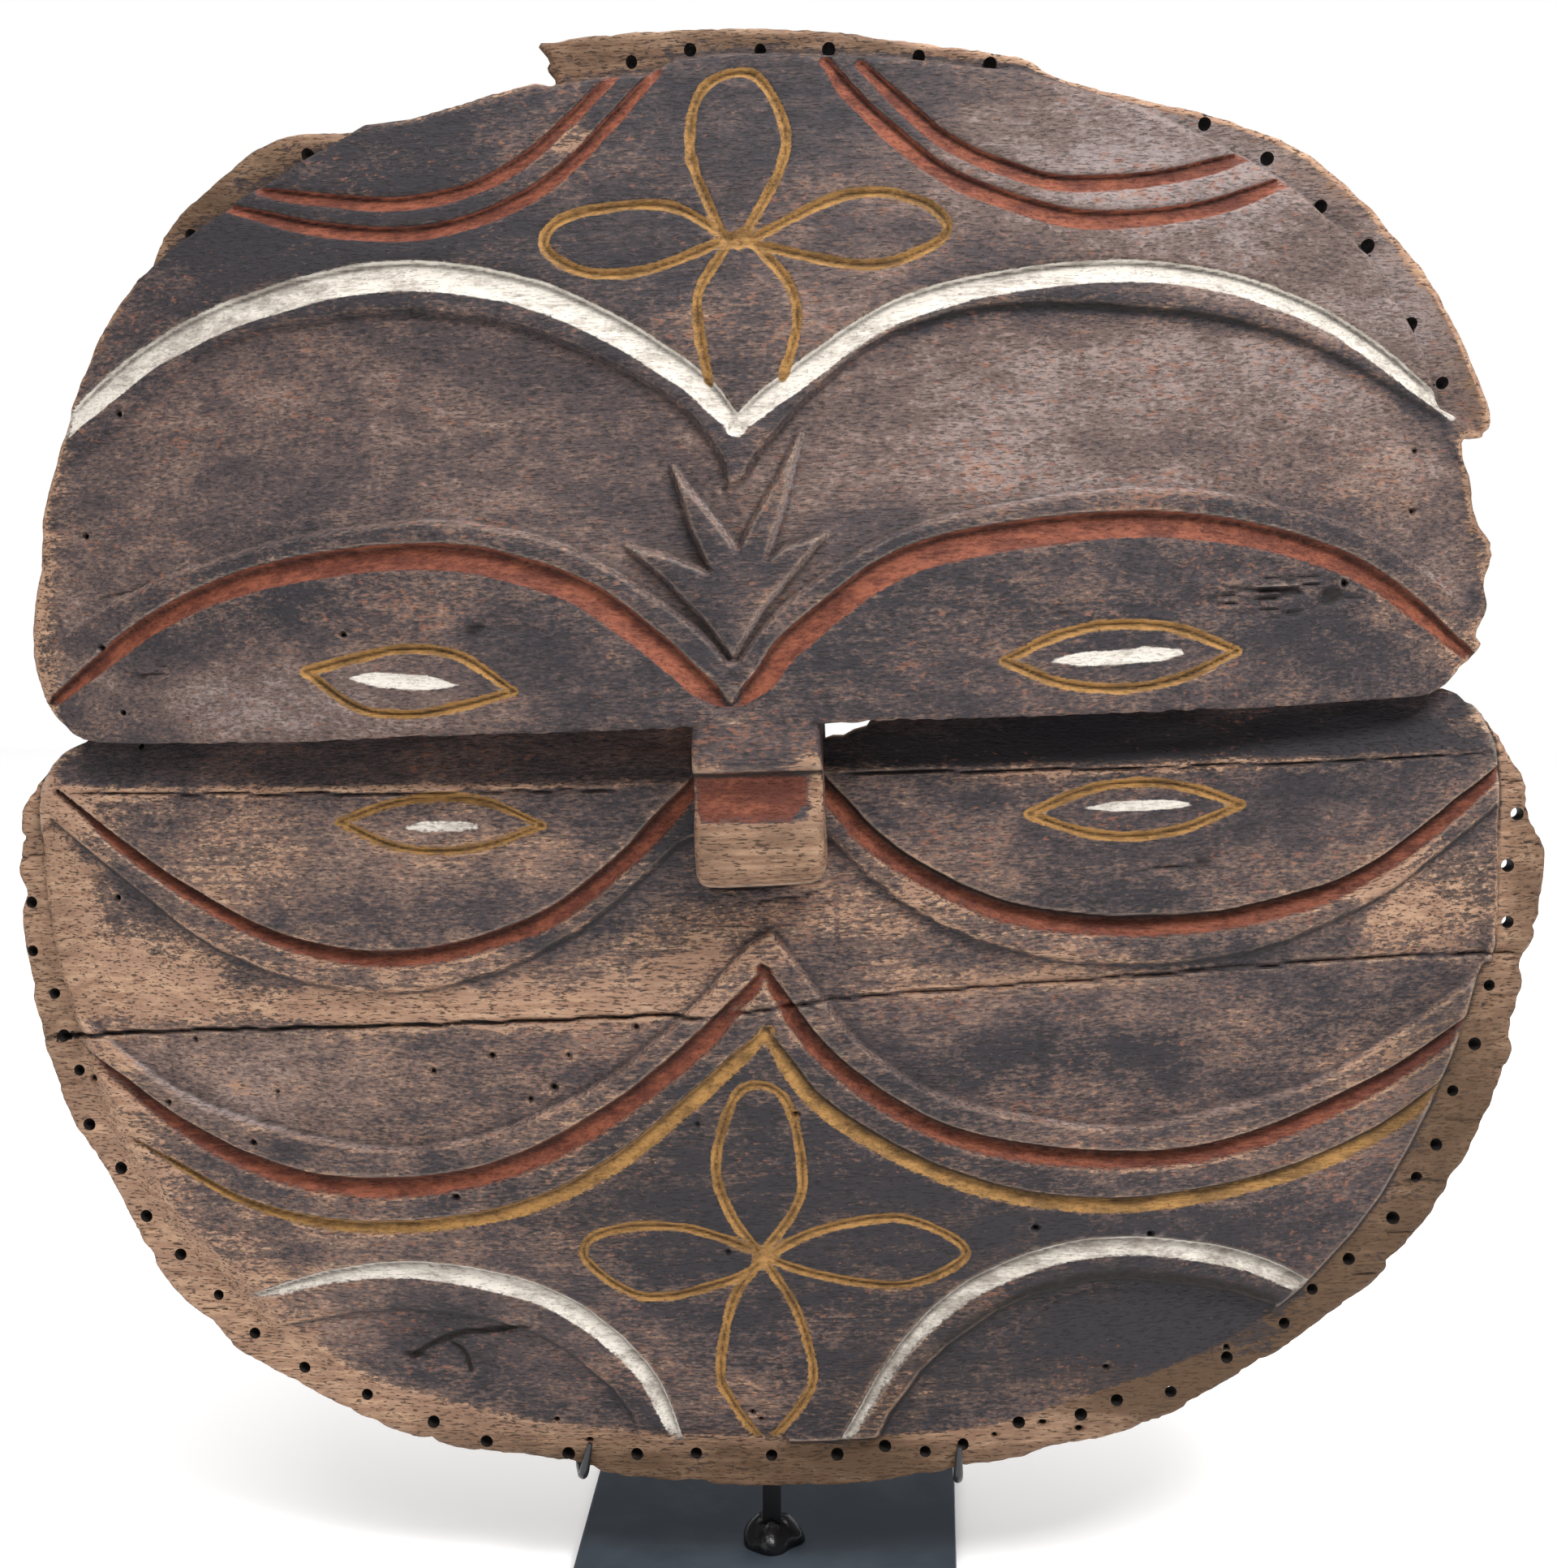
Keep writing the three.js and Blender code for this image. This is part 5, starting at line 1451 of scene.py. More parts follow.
class Recipe:
    """A material under construction: a shader, an output and the nodes that feed them."""

    def __init__(self, name: str) -> None:
        """Starts a material of that name.

        Args:
            name: Name of the material.
        """
        self.material = bpy.data.materials.new(name)
        self.material.use_nodes = True
        self.tree = self.material.node_tree
        self.tree.nodes.clear()
        shaded = self.add("BsdfPrincipled", {})
        self.shader = shaded.node
        self.add("OutputMaterial", {"Surface": shaded}, None)

    def add(self, kind: str, inputs: dict[int | str, Any], out: int | str | None = 0, **settings: Any) -> Any:
        """Adds a node.

        Args:
            kind: Blender's name for the node, without its first words.
            inputs: Values or sockets for its inputs, by name or place.
            out: The output wanted, by name or place.
            settings: Properties to set on the node.

        Returns:
            The output's socket, or none where no output is wanted.
        """
        node = self.tree.nodes.new(f"ShaderNode{kind}")
        for name, value in settings.items():
            setattr(node, name, value)
        for key, value in inputs.items():
            if isinstance(value, Socket):
                self.tree.links.new(value, node.inputs[key])
            else:
                node.inputs[key].default_value = value
        return None if out is None else node.outputs[out]

    def lumps(self, place: Socket, lengths: tuple[float, float, float], detail: float = 3.0,
              roughness: float = 0.5, shift: float = 0.0) -> Socket:
        """Lays a pattern of lumps of a real size.

        Args:
            place: Place in millimetres.
            lengths: Length of a lump along each axis.
            detail: How many finer layers are added.
            roughness: Strength of the finer layers.
            shift: Moves the pattern, so that two like ones differ.

        Returns:
            The pattern, between 0 and 1.
        """
        scale = tuple(1.0 / length for length in lengths)
        laid = self.add("Mapping", {"Vector": place, "Scale": scale, "Location": (shift, shift, shift)})
        return self.add("TexNoise", {"Vector": laid, "Scale": 1.0, "Detail": detail, "Roughness": roughness})

    def millimetres(self) -> Socket:
        """Gives the place on the part."""
        place = self.add("TexCoord", {}, "Object")
        return self.add("Mapping", {"Vector": place, "Scale": (1 / MM,) * 3})

    def along_carving(self) -> Socket:
        """Gives the place in the mask's carving frame.

        Returns:
            The place.
        """
        turn = CARVING.turn().to_3x3().transposed()
        shift = -(turn @ (CARVING.origin() / MM))
        place = self.add("TexCoord", {}, "Object")
        return self.add("Mapping", {
            "Vector": place, "Scale": (1 / MM,) * 3, "Rotation": turn.to_euler(), "Location": shift,
        })

    def finish(self, height: Socket, depth_mm: float, **inputs: Any) -> bpy.types.Material:
        """Sets the shader's own inputs.

        Args:
            height: Relief of the surface, where 1 stands for depth_mm.
            depth_mm: Depth of that relief.
            inputs: Values or sockets for the shader's inputs, with _ for a space.

        Returns:
            The material.
        """
        inputs["Normal"] = self.add("Bump", {"Height": height, "Strength": 1.0, "Distance": depth_mm * MM})
        for name, value in inputs.items():
            key = name.replace("_", " ")
            if isinstance(value, Socket):
                self.tree.links.new(value, self.shader.inputs[key])
            else:
                self.shader.inputs[key].default_value = value
        return self.material


@dataclass(frozen=True)
class RubbedPigment:
    """Earth pigment rubbed into the carving: matt, streaked and dirtied along the grain.

    Attributes:
        layer: Name of its layer, in millimetres inside its edge.
        fresh: Colour of the full pigment.
        dirty: Colour of the dirty pigment.
        stay: How much of it has stayed.
        clean: How much of it has stayed clean.
    """

    layer: str
    fresh: str
    dirty: str
    stay: float
    clean: float


@dataclass(frozen=True)
class WornPaintedWood:
    """Pale tropical hardwood, hand carved, with rubbed charcoal, red, ochre and kaolin pigments.

    The grain and its open pores run across the mask. The charcoal is matt and dusty. Handling has
    rubbed it off the high grain, edges and belts, so tan wood shows there in flecks and streaks.

    The _mm sizes are those of a pattern's lumps along the grain, up the face and out of it. tone_mix
    weighs the patterns that make the charcoal paler, and film_steps says from where to where each
    paler colour takes over; pore_steps does that for the open pores. bare_mix weighs those that rub the
    paint off, and bare_start is the weight at which that sets in.
    """

    wood_light: str = "#ba977b"
    wood_dark: str = "#8e6b55"
    wood_pink: str = "#a07d69"
    soil: str = "#47331f"
    charcoal: str = "#463c3d"
    charcoal_brown: str = "#65534d"
    charcoal_blue: str = "#2e2a2e"
    # Palest film colour: real dust, and the painted sheen where the tone layer is raised at the upper right.
    dust: str = "#918482"
    rust: str = "#8a5c47"
    pigments: tuple[RubbedPigment, ...] = (
        RubbedPigment("red", "#90523b", "#4c231c", 0.9, 0.88),
        RubbedPigment("white", "#dcd4c9", "#8f857b", 0.85, 1.0),
        RubbedPigment("ochre", "#aa7f48", "#64492a", 0.9, 0.93),
    )
    burnished: str = "#a89a8e"
    # Near-black: pores, cracks and dirt, and the painted shade in hollows, channel corners and under steps.
    dirt_and_shade: str = "#1b1512"
    grain_mm: tuple[float, float, float] = (46.0, 1.4, 1.4)
    pore_mm: tuple[float, float, float] = (2.5, 0.45, 0.45)
    fleck_mm: tuple[float, float, float] = (1.7, 0.8, 0.8)
    speck_mm: tuple[float, float, float] = (2.4, 1.3, 1.3)
    mottle_mm: tuple[float, float, float] = (10.0, 6.0, 6.0)
    blotch_mm: tuple[float, float, float] = (36.0, 20.0, 20.0)
    relief_mm: float = 0.7
    pore_steps: tuple[float, float] = (0.58, 0.64)
    tone_mix: tuple[tuple[str, float], ...] = (
        ("blotch", 1.3), ("mottle", 0.9), ("flecks", 1.7), ("grain", 0.4),
    )
    bare_mix: tuple[tuple[str, float], ...] = (
        ("flecks", 1.65), ("grain", 0.4), ("mottle", 1.25), ("blotch", 0.9),
    )
    bare_start: float = 2.1
    film_steps: tuple[tuple[float, float], ...] = ((1.8, 2.15), (2.1, 2.55), (2.45, 3.1))

    def build(self) -> bpy.types.Material:
        """Builds the material.

        Returns:
            The material.
        """
        recipe = Recipe("carved_hardwood_rubbed_pigment")
        place = recipe.along_carving()
        patterns = {
            "grain": recipe.lumps(place, self.grain_mm, 5, 0.6),
            "pores": recipe.lumps(place, self.pore_mm, 2, 0.5, 7.3),
            "flecks": recipe.lumps(place, self.fleck_mm, 6, 0.66, 3.1),
            "specks": recipe.lumps(place, self.speck_mm, 4, 0.6, 15.2),
            "mottle": recipe.lumps(place, self.mottle_mm, 5, 0.62, 21.9),
            "blotch": recipe.lumps(place, self.blotch_mm, 4, 0.55, 11.7),
        }
        low, high = self.pore_steps
        patterns["pored"] = recipe.add("MapRange", {0: patterns["pores"], 1: low, 2: high}, **EASED)
        layers = {
            name: recipe.add("Attribute", {}, "Fac", attribute_name=name)
            for name in (*Zone.layer_names, "inside", "bored")
        }
        wood = self.wood(recipe, patterns)
        soiled = recipe.add("Math", {0: patterns["mottle"], 1: 0.8, 2: layers["soil"]}, **TIMES_PLUS)
        soiled = recipe.add("MapRange", {0: soiled, 1: 0.3, 2: 1.3, 3: 0.0, 4: 0.9}, **EASED)
        wood = recipe.add("Mix", {0: soiled, 6: wood, 7: colour(self.soil)}, **MIXED)
        bared = self.bared(recipe, patterns, layers)
        surface = self.charcoal_film(recipe, patterns, layers)
        thinned = recipe.add("MapRange", {0: bared, 1: 0.0, 2: 0.5, 3: 0.0, 4: 0.26}, **EASED)
        surface = recipe.add("Mix", {0: thinned, 6: surface, 7: wood}, **MIXED)
        rubbed = recipe.add("MapRange", {0: bared, 1: 0.45, 2: 0.59}, **EASED)
        surface = recipe.add("Mix", {0: rubbed, 6: surface, 7: wood}, **MIXED)
        for pigment in self.pigments:
            surface = self.pigmented(recipe, surface, patterns, layers, pigment)
        proud = recipe.add("MapRange", {0: layers["hollow"], 1: -0.3, 2: -0.9, 3: 0.0, 4: 0.3}, **EASED)
        surface = recipe.add("Mix", {0: proud, 6: surface, 7: colour(self.burnished)}, **MIXED)
        # Darkens the hollows of the relief: dirt lodged there, with painted shade.
        grime_and_shade = recipe.add("MapRange", {0: layers["hollow"], 1: 0.3, 2: 1.05, 3: 0.0, 4: 0.65}, **EASED)
        surface = recipe.add("Mix", {0: grime_and_shade, 6: surface, 7: colour(self.dirt_and_shade)}, **MIXED)
        aged = recipe.add("MapRange", {0: patterns["blotch"], 1: 0.36, 2: 0.64, 3: 0.25, 4: 0.85}, **EASED)
        raw = recipe.add("Mix", {0: aged, 6: wood, 7: colour(self.wood_dark)}, **MIXED)
        hidden = recipe.add("MapRange", {0: layers["inside"], 1: 0.35, 2: 0.65}, **EASED)
        surface = recipe.add("Mix", {0: hidden, 6: surface, 7: raw}, **MIXED)
        # Blackens the black layer and the lashing holes' walls: dark cracks, torn fibres and dirt, with
        # painted shade in the channels' upper corners, under steps and on shaded bevels.
        black = recipe.add("Math", {0: layers["dirt_and_shade"], 1: layers["bored"]}, operation="MAXIMUM")
        black = recipe.add("MapRange", {0: black, 1: 0.3, 2: 0.8}, **EASED)
        surface = recipe.add("Mix", {0: black, 6: surface, 7: colour(self.dirt_and_shade)}, **MIXED)

        height = 0.0
        for part, depth in (
            (patterns["grain"], 0.3), (patterns["flecks"], 0.5), (patterns["pored"], -0.35),
            (rubbed, -0.12),
        ):
            height = recipe.add("Math", {0: part, 1: depth, 2: height}, **TIMES_PLUS)
        roughness = recipe.add("MapRange", {0: patterns["flecks"], 1: 0.3, 2: 0.7, 3: 0.5, 4: 0.74}, **EASED)
        return recipe.finish(
            height, self.relief_mm, Base_Color=surface, Roughness=roughness, Specular_IOR_Level=0.28
        )

    def wood(self, recipe: Recipe, patterns: dict[str, Socket]) -> Socket:
        """Gives the colour of the bare wood.

        Args:
            recipe: Material under construction.
            patterns: Patterns of the surface.

        Returns:
            The colour.
        """
        band = recipe.add("MapRange", {0: patterns["grain"], 1: 0.34, 2: 0.66}, **EASED)
        wood = recipe.add("Mix", {0: band, 6: colour(self.wood_dark), 7: colour(self.wood_light)}, **MIXED)
        warm = recipe.add("MapRange", {0: patterns["mottle"], 1: 0.42, 2: 0.62, 3: 0.0, 4: 0.6}, **EASED)
        wood = recipe.add("Mix", {0: warm, 6: wood, 7: colour(self.wood_pink)}, **MIXED)
        pored = recipe.add("Math", {0: patterns["pored"], 1: 0.78}, **TIMES)
        return recipe.add("Mix", {0: pored, 6: wood, 7: colour(self.dirt_and_shade)}, **MIXED)

    def charcoal_film(self, recipe: Recipe, patterns: dict[str, Socket], layers: dict[str, Socket]) -> Socket:
        """Gives the colour of the charcoal paint, from blue-black to dusty, with rust-coloured specks.

        Args:
            recipe: Material under construction.
            patterns: Patterns of the surface.
            layers: Layers stored on the mesh.

        Returns:
            The colour.
        """
        tone = layers["tone"]
        for name, weight in self.tone_mix:
            tone = recipe.add("Math", {0: patterns[name], 1: weight, 2: tone}, **TIMES_PLUS)
        film = colour(self.charcoal_blue)
        paler = (self.charcoal, self.charcoal_brown, self.dust)
        for (low, high), code in zip(self.film_steps, paler):
            share = recipe.add("MapRange", {0: tone, 1: low, 2: high}, **EASED)
            film = recipe.add("Mix", {0: share, 6: film, 7: colour(code)}, **MIXED)
        specked = recipe.add("Math", {0: layers["tone"], 1: 0.04, 2: patterns["specks"]}, **TIMES_PLUS)
        specked = recipe.add("Math", {0: patterns["blotch"], 1: 0.5, 2: specked}, **TIMES_PLUS)
        specked = recipe.add("MapRange", {0: specked, 1: 0.85, 2: 0.96, 3: 0.0, 4: 0.6}, **EASED)
        film = recipe.add("Mix", {0: specked, 6: film, 7: colour(self.rust)}, **MIXED)
        pored = recipe.add("Math", {0: patterns["pored"], 1: 0.45}, **TIMES)
        return recipe.add("Mix", {0: pored, 6: film, 7: colour(self.dirt_and_shade)}, **MIXED)

    def bared(self, recipe: Recipe, patterns: dict[str, Socket], layers: dict[str, Socket]) -> Socket:
        """Gives how far the paint is rubbed off: over about half, the wood is bare.

        Args:
            recipe: Material under construction.
            patterns: Patterns of the surface.
            layers: Layers stored on the mesh.

        Returns:
            The level.
        """
        level = layers["bare"]
        for name, weight in self.bare_mix:
            level = recipe.add("Math", {0: patterns[name], 1: weight, 2: level}, **TIMES_PLUS)
        level = recipe.add("Math", {0: layers["hollow"], 1: -0.4, 2: level}, **TIMES_PLUS)
        return recipe.add("Math", {0: level, 1: self.bare_start}, operation="SUBTRACT")

    @staticmethod
    def pigmented(recipe: Recipe, below: Socket, patterns: dict[str, Socket], layers: dict[str, Socket],
                  pigment: RubbedPigment) -> Socket:
        """Lays one pigment over what is below.

        Args:
            recipe: Material under construction.
            below: Colour below the pigment.
            patterns: Patterns of the surface.
            layers: Layers stored on the mesh.
            pigment: The pigment.

        Returns:
            The new colour.
        """
        frayed = recipe.add("Math", {0: patterns["flecks"], 1: 0.9, 2: layers[pigment.layer]}, **TIMES_PLUS)
        mask = recipe.add("MapRange", {0: frayed, 1: 0.25, 2: 0.65}, **EASED)
        held = recipe.add("Math", {0: layers["hollow"], 1: 0.3, 2: patterns["flecks"]}, **TIMES_PLUS)
        held = recipe.add("Math", {0: layers["bare"], 1: -0.5, 2: held}, **TIMES_PLUS)
        held = recipe.add("MapRange", {0: held, 1: 0.2, 2: 0.42, 3: 1.0 - pigment.stay, 4: 1.0}, **EASED)
        mask = recipe.add("Math", {0: mask, 1: held}, **TIMES)
        dirtied = recipe.add("Math", {0: patterns["grain"], 1: 0.6, 2: patterns["mottle"]}, **TIMES_PLUS)
        dirtied = recipe.add("Math", {0: patterns["flecks"], 1: 0.6, 2: dirtied}, **TIMES_PLUS)
        dirtied = recipe.add("Math", {0: layers["soil"], 1: 0.35, 2: dirtied}, **TIMES_PLUS)
        low, high = pigment.clean, pigment.clean + 0.4
        dirtied = recipe.add("MapRange", {0: dirtied, 1: low, 2: high, 3: 0.0, 4: 0.8}, **EASED)
        film = recipe.add("Mix", {0: dirtied, 6: colour(pigment.fresh), 7: colour(pigment.dirty)}, **MIXED)
        return recipe.add("Mix", {0: mask, 6: below, 7: film}, **MIXED)


@dataclass(frozen=True)
class PaintedSteel:
    """Mild steel under satin black paint: nearly even, with a faint orange peel and dust."""

    name: str
    base: str
    dust: str
    roughness: float
    peel_mm: float
    peel_depth_mm: float

    def build(self) -> bpy.types.Material:
        """Builds the material.

        Returns:
            The material.
        """
        recipe = Recipe(self.name)
        place = recipe.millimetres()
        peel = recipe.lumps(place, (self.peel_mm,) * 3, 2, 0.5)
        film = recipe.lumps(place, (26.0, 26.0, 26.0), 4, 0.6, 5.0)
        share = recipe.add("MapRange", {0: film, 1: 0.4, 2: 0.75, 3: 0.0, 4: 0.5}, **EASED)
        tone = recipe.add("Mix", {0: share, 6: colour(self.base), 7: colour(self.dust)}, **MIXED)
        low, high = self.roughness - 0.06, self.roughness + 0.1
        rough = recipe.add("MapRange", {0: film, 1: 0.3, 2: 0.7, 3: low, 4: high}, **EASED)
        return recipe.finish(peel, self.peel_depth_mm, Base_Color=tone, Roughness=rough, IOR=1.5)


@dataclass(frozen=True)
class WoolFelt:
    """Black wool felt: matted fibres that scatter a soft sheen."""

    base: str = "#151517"
    lint: str = "#2a2a2d"
    fibre_mm: tuple[float, float, float] = (0.9, 0.35, 0.35)
    relief_mm: float = 0.25

    def build(self) -> bpy.types.Material:
        """Builds the material.

        Returns:
            The material.
        """
        recipe = Recipe("black_wool_felt")
        fibre = recipe.lumps(recipe.millimetres(), self.fibre_mm, 4, 0.7)
        share = recipe.add("MapRange", {0: fibre, 1: 0.45, 2: 0.7}, **EASED)
        tone = recipe.add("Mix", {0: share, 6: colour(self.base), 7: colour(self.lint)}, **MIXED)
        return recipe.finish(
            fibre, self.relief_mm, Base_Color=tone, Roughness=0.95, Sheen_Weight=0.4, Sheen_Roughness=0.6
        )


@dataclass(frozen=True)
class MattWhite:
    """Matt white studio paint, lit from all round: even, with the faintest texture."""

    tone: str = "#f8f8f8"
    glow: float = 0.14

    def build(self) -> bpy.types.Material:
        """Builds the material.

        Returns:
            The material.
        """
        recipe = Recipe("matt_white_floor")
        grit = recipe.lumps(recipe.millimetres(), (3.0, 3.0, 3.0), 2, 0.5)
        return recipe.finish(
            grit, 0.02, Base_Color=colour(self.tone), Roughness=0.95, Emission_Color=colour(self.tone),
            Emission_Strength=self.glow,
        )


# Sub-assemblies


@dataclass
class DiscMask:
    """The carved disc mask: relief, breaks, holes and the layers that its finish reads.

    A bite is the deepest one out of a half's edge, and margin_mm is how far the nose's and the lip's
    layers reach past them. The wood counts as the back within skin_mm of it, as raw from sunk_mm below
    the face, and as a hole's wall where its normal faces forwards by no more than steep.
    """

    face_mm: float = 0.6
    nose_mm: float = 0.5
    back_mm: float = 3.6
    quick_mm: float = 1.3
    upper_bite_mm: float = 1.0
    lower_bite_mm: float = 1.7
    triangles: int = 190_000
    quick_triangles: int = 70_000
    sharp_deg: float = 48.0
    margin_mm: float = 0.6
    skin_mm: float = 0.8
    sunk_mm: tuple[float, float] = (1.5, 3.5)
    steep: float = 0.85
    zones: dict[str, Zone] = field(default_factory=dict)

    def build(self) -> bpy.types.Object:
        """Builds, dresses and places the mask.

        Returns:
            The mask.
        """
        step = self.face_mm
        self.zones = {"upper": upper_zone(step), "lower": lower_zone(step), "nose": nose_zone(self.nose_mm)}
        body = self.half("upper", step, ragged(UPPER_OUTLINE, self.upper_bite_mm, 51))
        body.cut(self.half("lower", step, ragged(LOWER_OUTLINE, self.lower_bite_mm, 53)), Cut.JOIN)
        body.cut(self.half("nose", self.nose_mm, softened(NOSE_OUTLINE)), Cut.JOIN)
        body.cut(drills(), Cut.REMOVE)
        for i, outline in enumerate(SLITS):
            body.cut(prism(f"slit_{i}", np.array(outline, float), SLIT_LOW, SLIT_HIGH), Cut.REMOVE)
        back = Raster(-200, 200, -205, 170, 1.0)
        body.cut(slab("hollow", self.back_face, back, self.back_mm), Cut.REMOVE)
        body.thin(self.triangles)
        self.store_layers(body)
        return self.place(body)

    def half(self, name: str, step: float, outline: Array) -> Solid:
        """Makes one zone's block and trims it to its outline.

        Args:
            name: Name of the zone.
            step: Size of its faces.
            outline: Corners of its outline.

        Returns:
            The trimmed block.
        """
        zone = self.zones[name]
        block = slab(name, lambda u, v: zone.raster.sample(zone.height, u, v), zone.raster, step)
        floor = 0.0 if name == "nose" else -70.0
        block.cut(prism(f"{name}_outline", outline, floor), Cut.KEEP_INSIDE)
        return block

    def back_face(self, u: Array, v: Array) -> Array:
        """Back of the mask with the adze marks that were left on it."""
        marks = 0.6 * rumple(u, v, 15, 26, 81) + 0.15 * rumple(u, v, 6, 9, 82)
        return DOME.back(u, v) + marks

    def store_layers(self, body: Solid) -> None:
        """Reads the zones' layers at every vertex and stores them on the mesh.

        Args:
            body: The finished body of the mask.
        """
        places = body.places()
        u, v, w = places.T
        upper, lower, nose = (self.zones[name] for name in ("upper", "lower", "nose"))
        heights = {name: zone.raster.sample(zone.height, u, v) for name, zone in self.zones.items()}
        on_nose = (u > NOSE_LEFT - self.margin_mm) & (u < NOSE_RIGHT + self.margin_mm)
        on_nose &= (v > NOSE_FOOT) & (v < 0.4) & (w > heights["lower"] + self.margin_mm)
        lip_u, lip_v = np.array(LIP[::-1], float).T
        on_upper = v > np.interp(u, lip_u, lip_v) - self.margin_mm
        front = np.where(on_nose, heights["nose"], np.where(on_upper, heights["upper"], heights["lower"]))
        sunk = front - w
        behind = w < self.back_face(u, v) + self.skin_mm
        edge = on_upper & (v < 3)
        inside = np.where((edge | on_nose) & ~behind, 0.0, np.maximum(ease(*self.sunk_mm, sunk), behind))
        self.store(body, "inside", inside)
        for name in Zone.layer_names:
            values = [zone.raster.sample(zone.layers[name], u, v) for zone in (nose, upper, lower)]
            value = np.where(on_nose, values[0], np.where(on_upper, values[1], values[2]))
            self.store(body, name, value * (1 - inside) if name == "dirt_and_shade" else value)
        self.mark_bored(body)

    def mark_bored(self, body: Solid) -> None:
        """Marks the faces in the lashing holes.

        Args:
            body: The finished body of the mask.
        """
        faces = body.object.data.polygons
        centres, normals = np.empty(len(faces) * 3, np.float32), np.empty(len(faces) * 3, np.float32)
        faces.foreach_get("center", centres)
        faces.foreach_get("normal", normals)
        centres = centres.reshape(-1, 3).astype(float)
        steep = np.abs(normals.reshape(-1, 3)[:, 2]) < self.steep
        bored = np.zeros(len(faces), np.float32)
        for bore in bores():
            bored[bore.near(centres) & steep] = 1.0
        layer = body.object.data.attributes.new("bored", "FLOAT", "FACE")
        layer.data.foreach_set("value", bored)

    @staticmethod
    def store(body: Solid, name: str, value: Array) -> None:
        """Stores one number for each vertex."""
        layer = body.object.data.attributes.new(name, "FLOAT", "POINT")
        layer.data.foreach_set("value", value.astype(np.float32))

    def place(self, body: Solid) -> bpy.types.Object:
        """Sets the mask on the stand and gives it its finish.

        Args:
            body: The finished body of the mask.

        Returns:
            The mask.
        """
        mask = body.object
        mask.name = "carved_mask"
        mesh = mask.data
        mesh.transform(CARVING.placement())
        mesh.shade_smooth()
        mesh.set_sharp_from_angle(angle=math.radians(self.sharp_deg))
        mesh.materials.clear()
        mesh.materials.append(WornPaintedWood().build())
        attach(mask, "root")
        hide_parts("mask")
        return mask


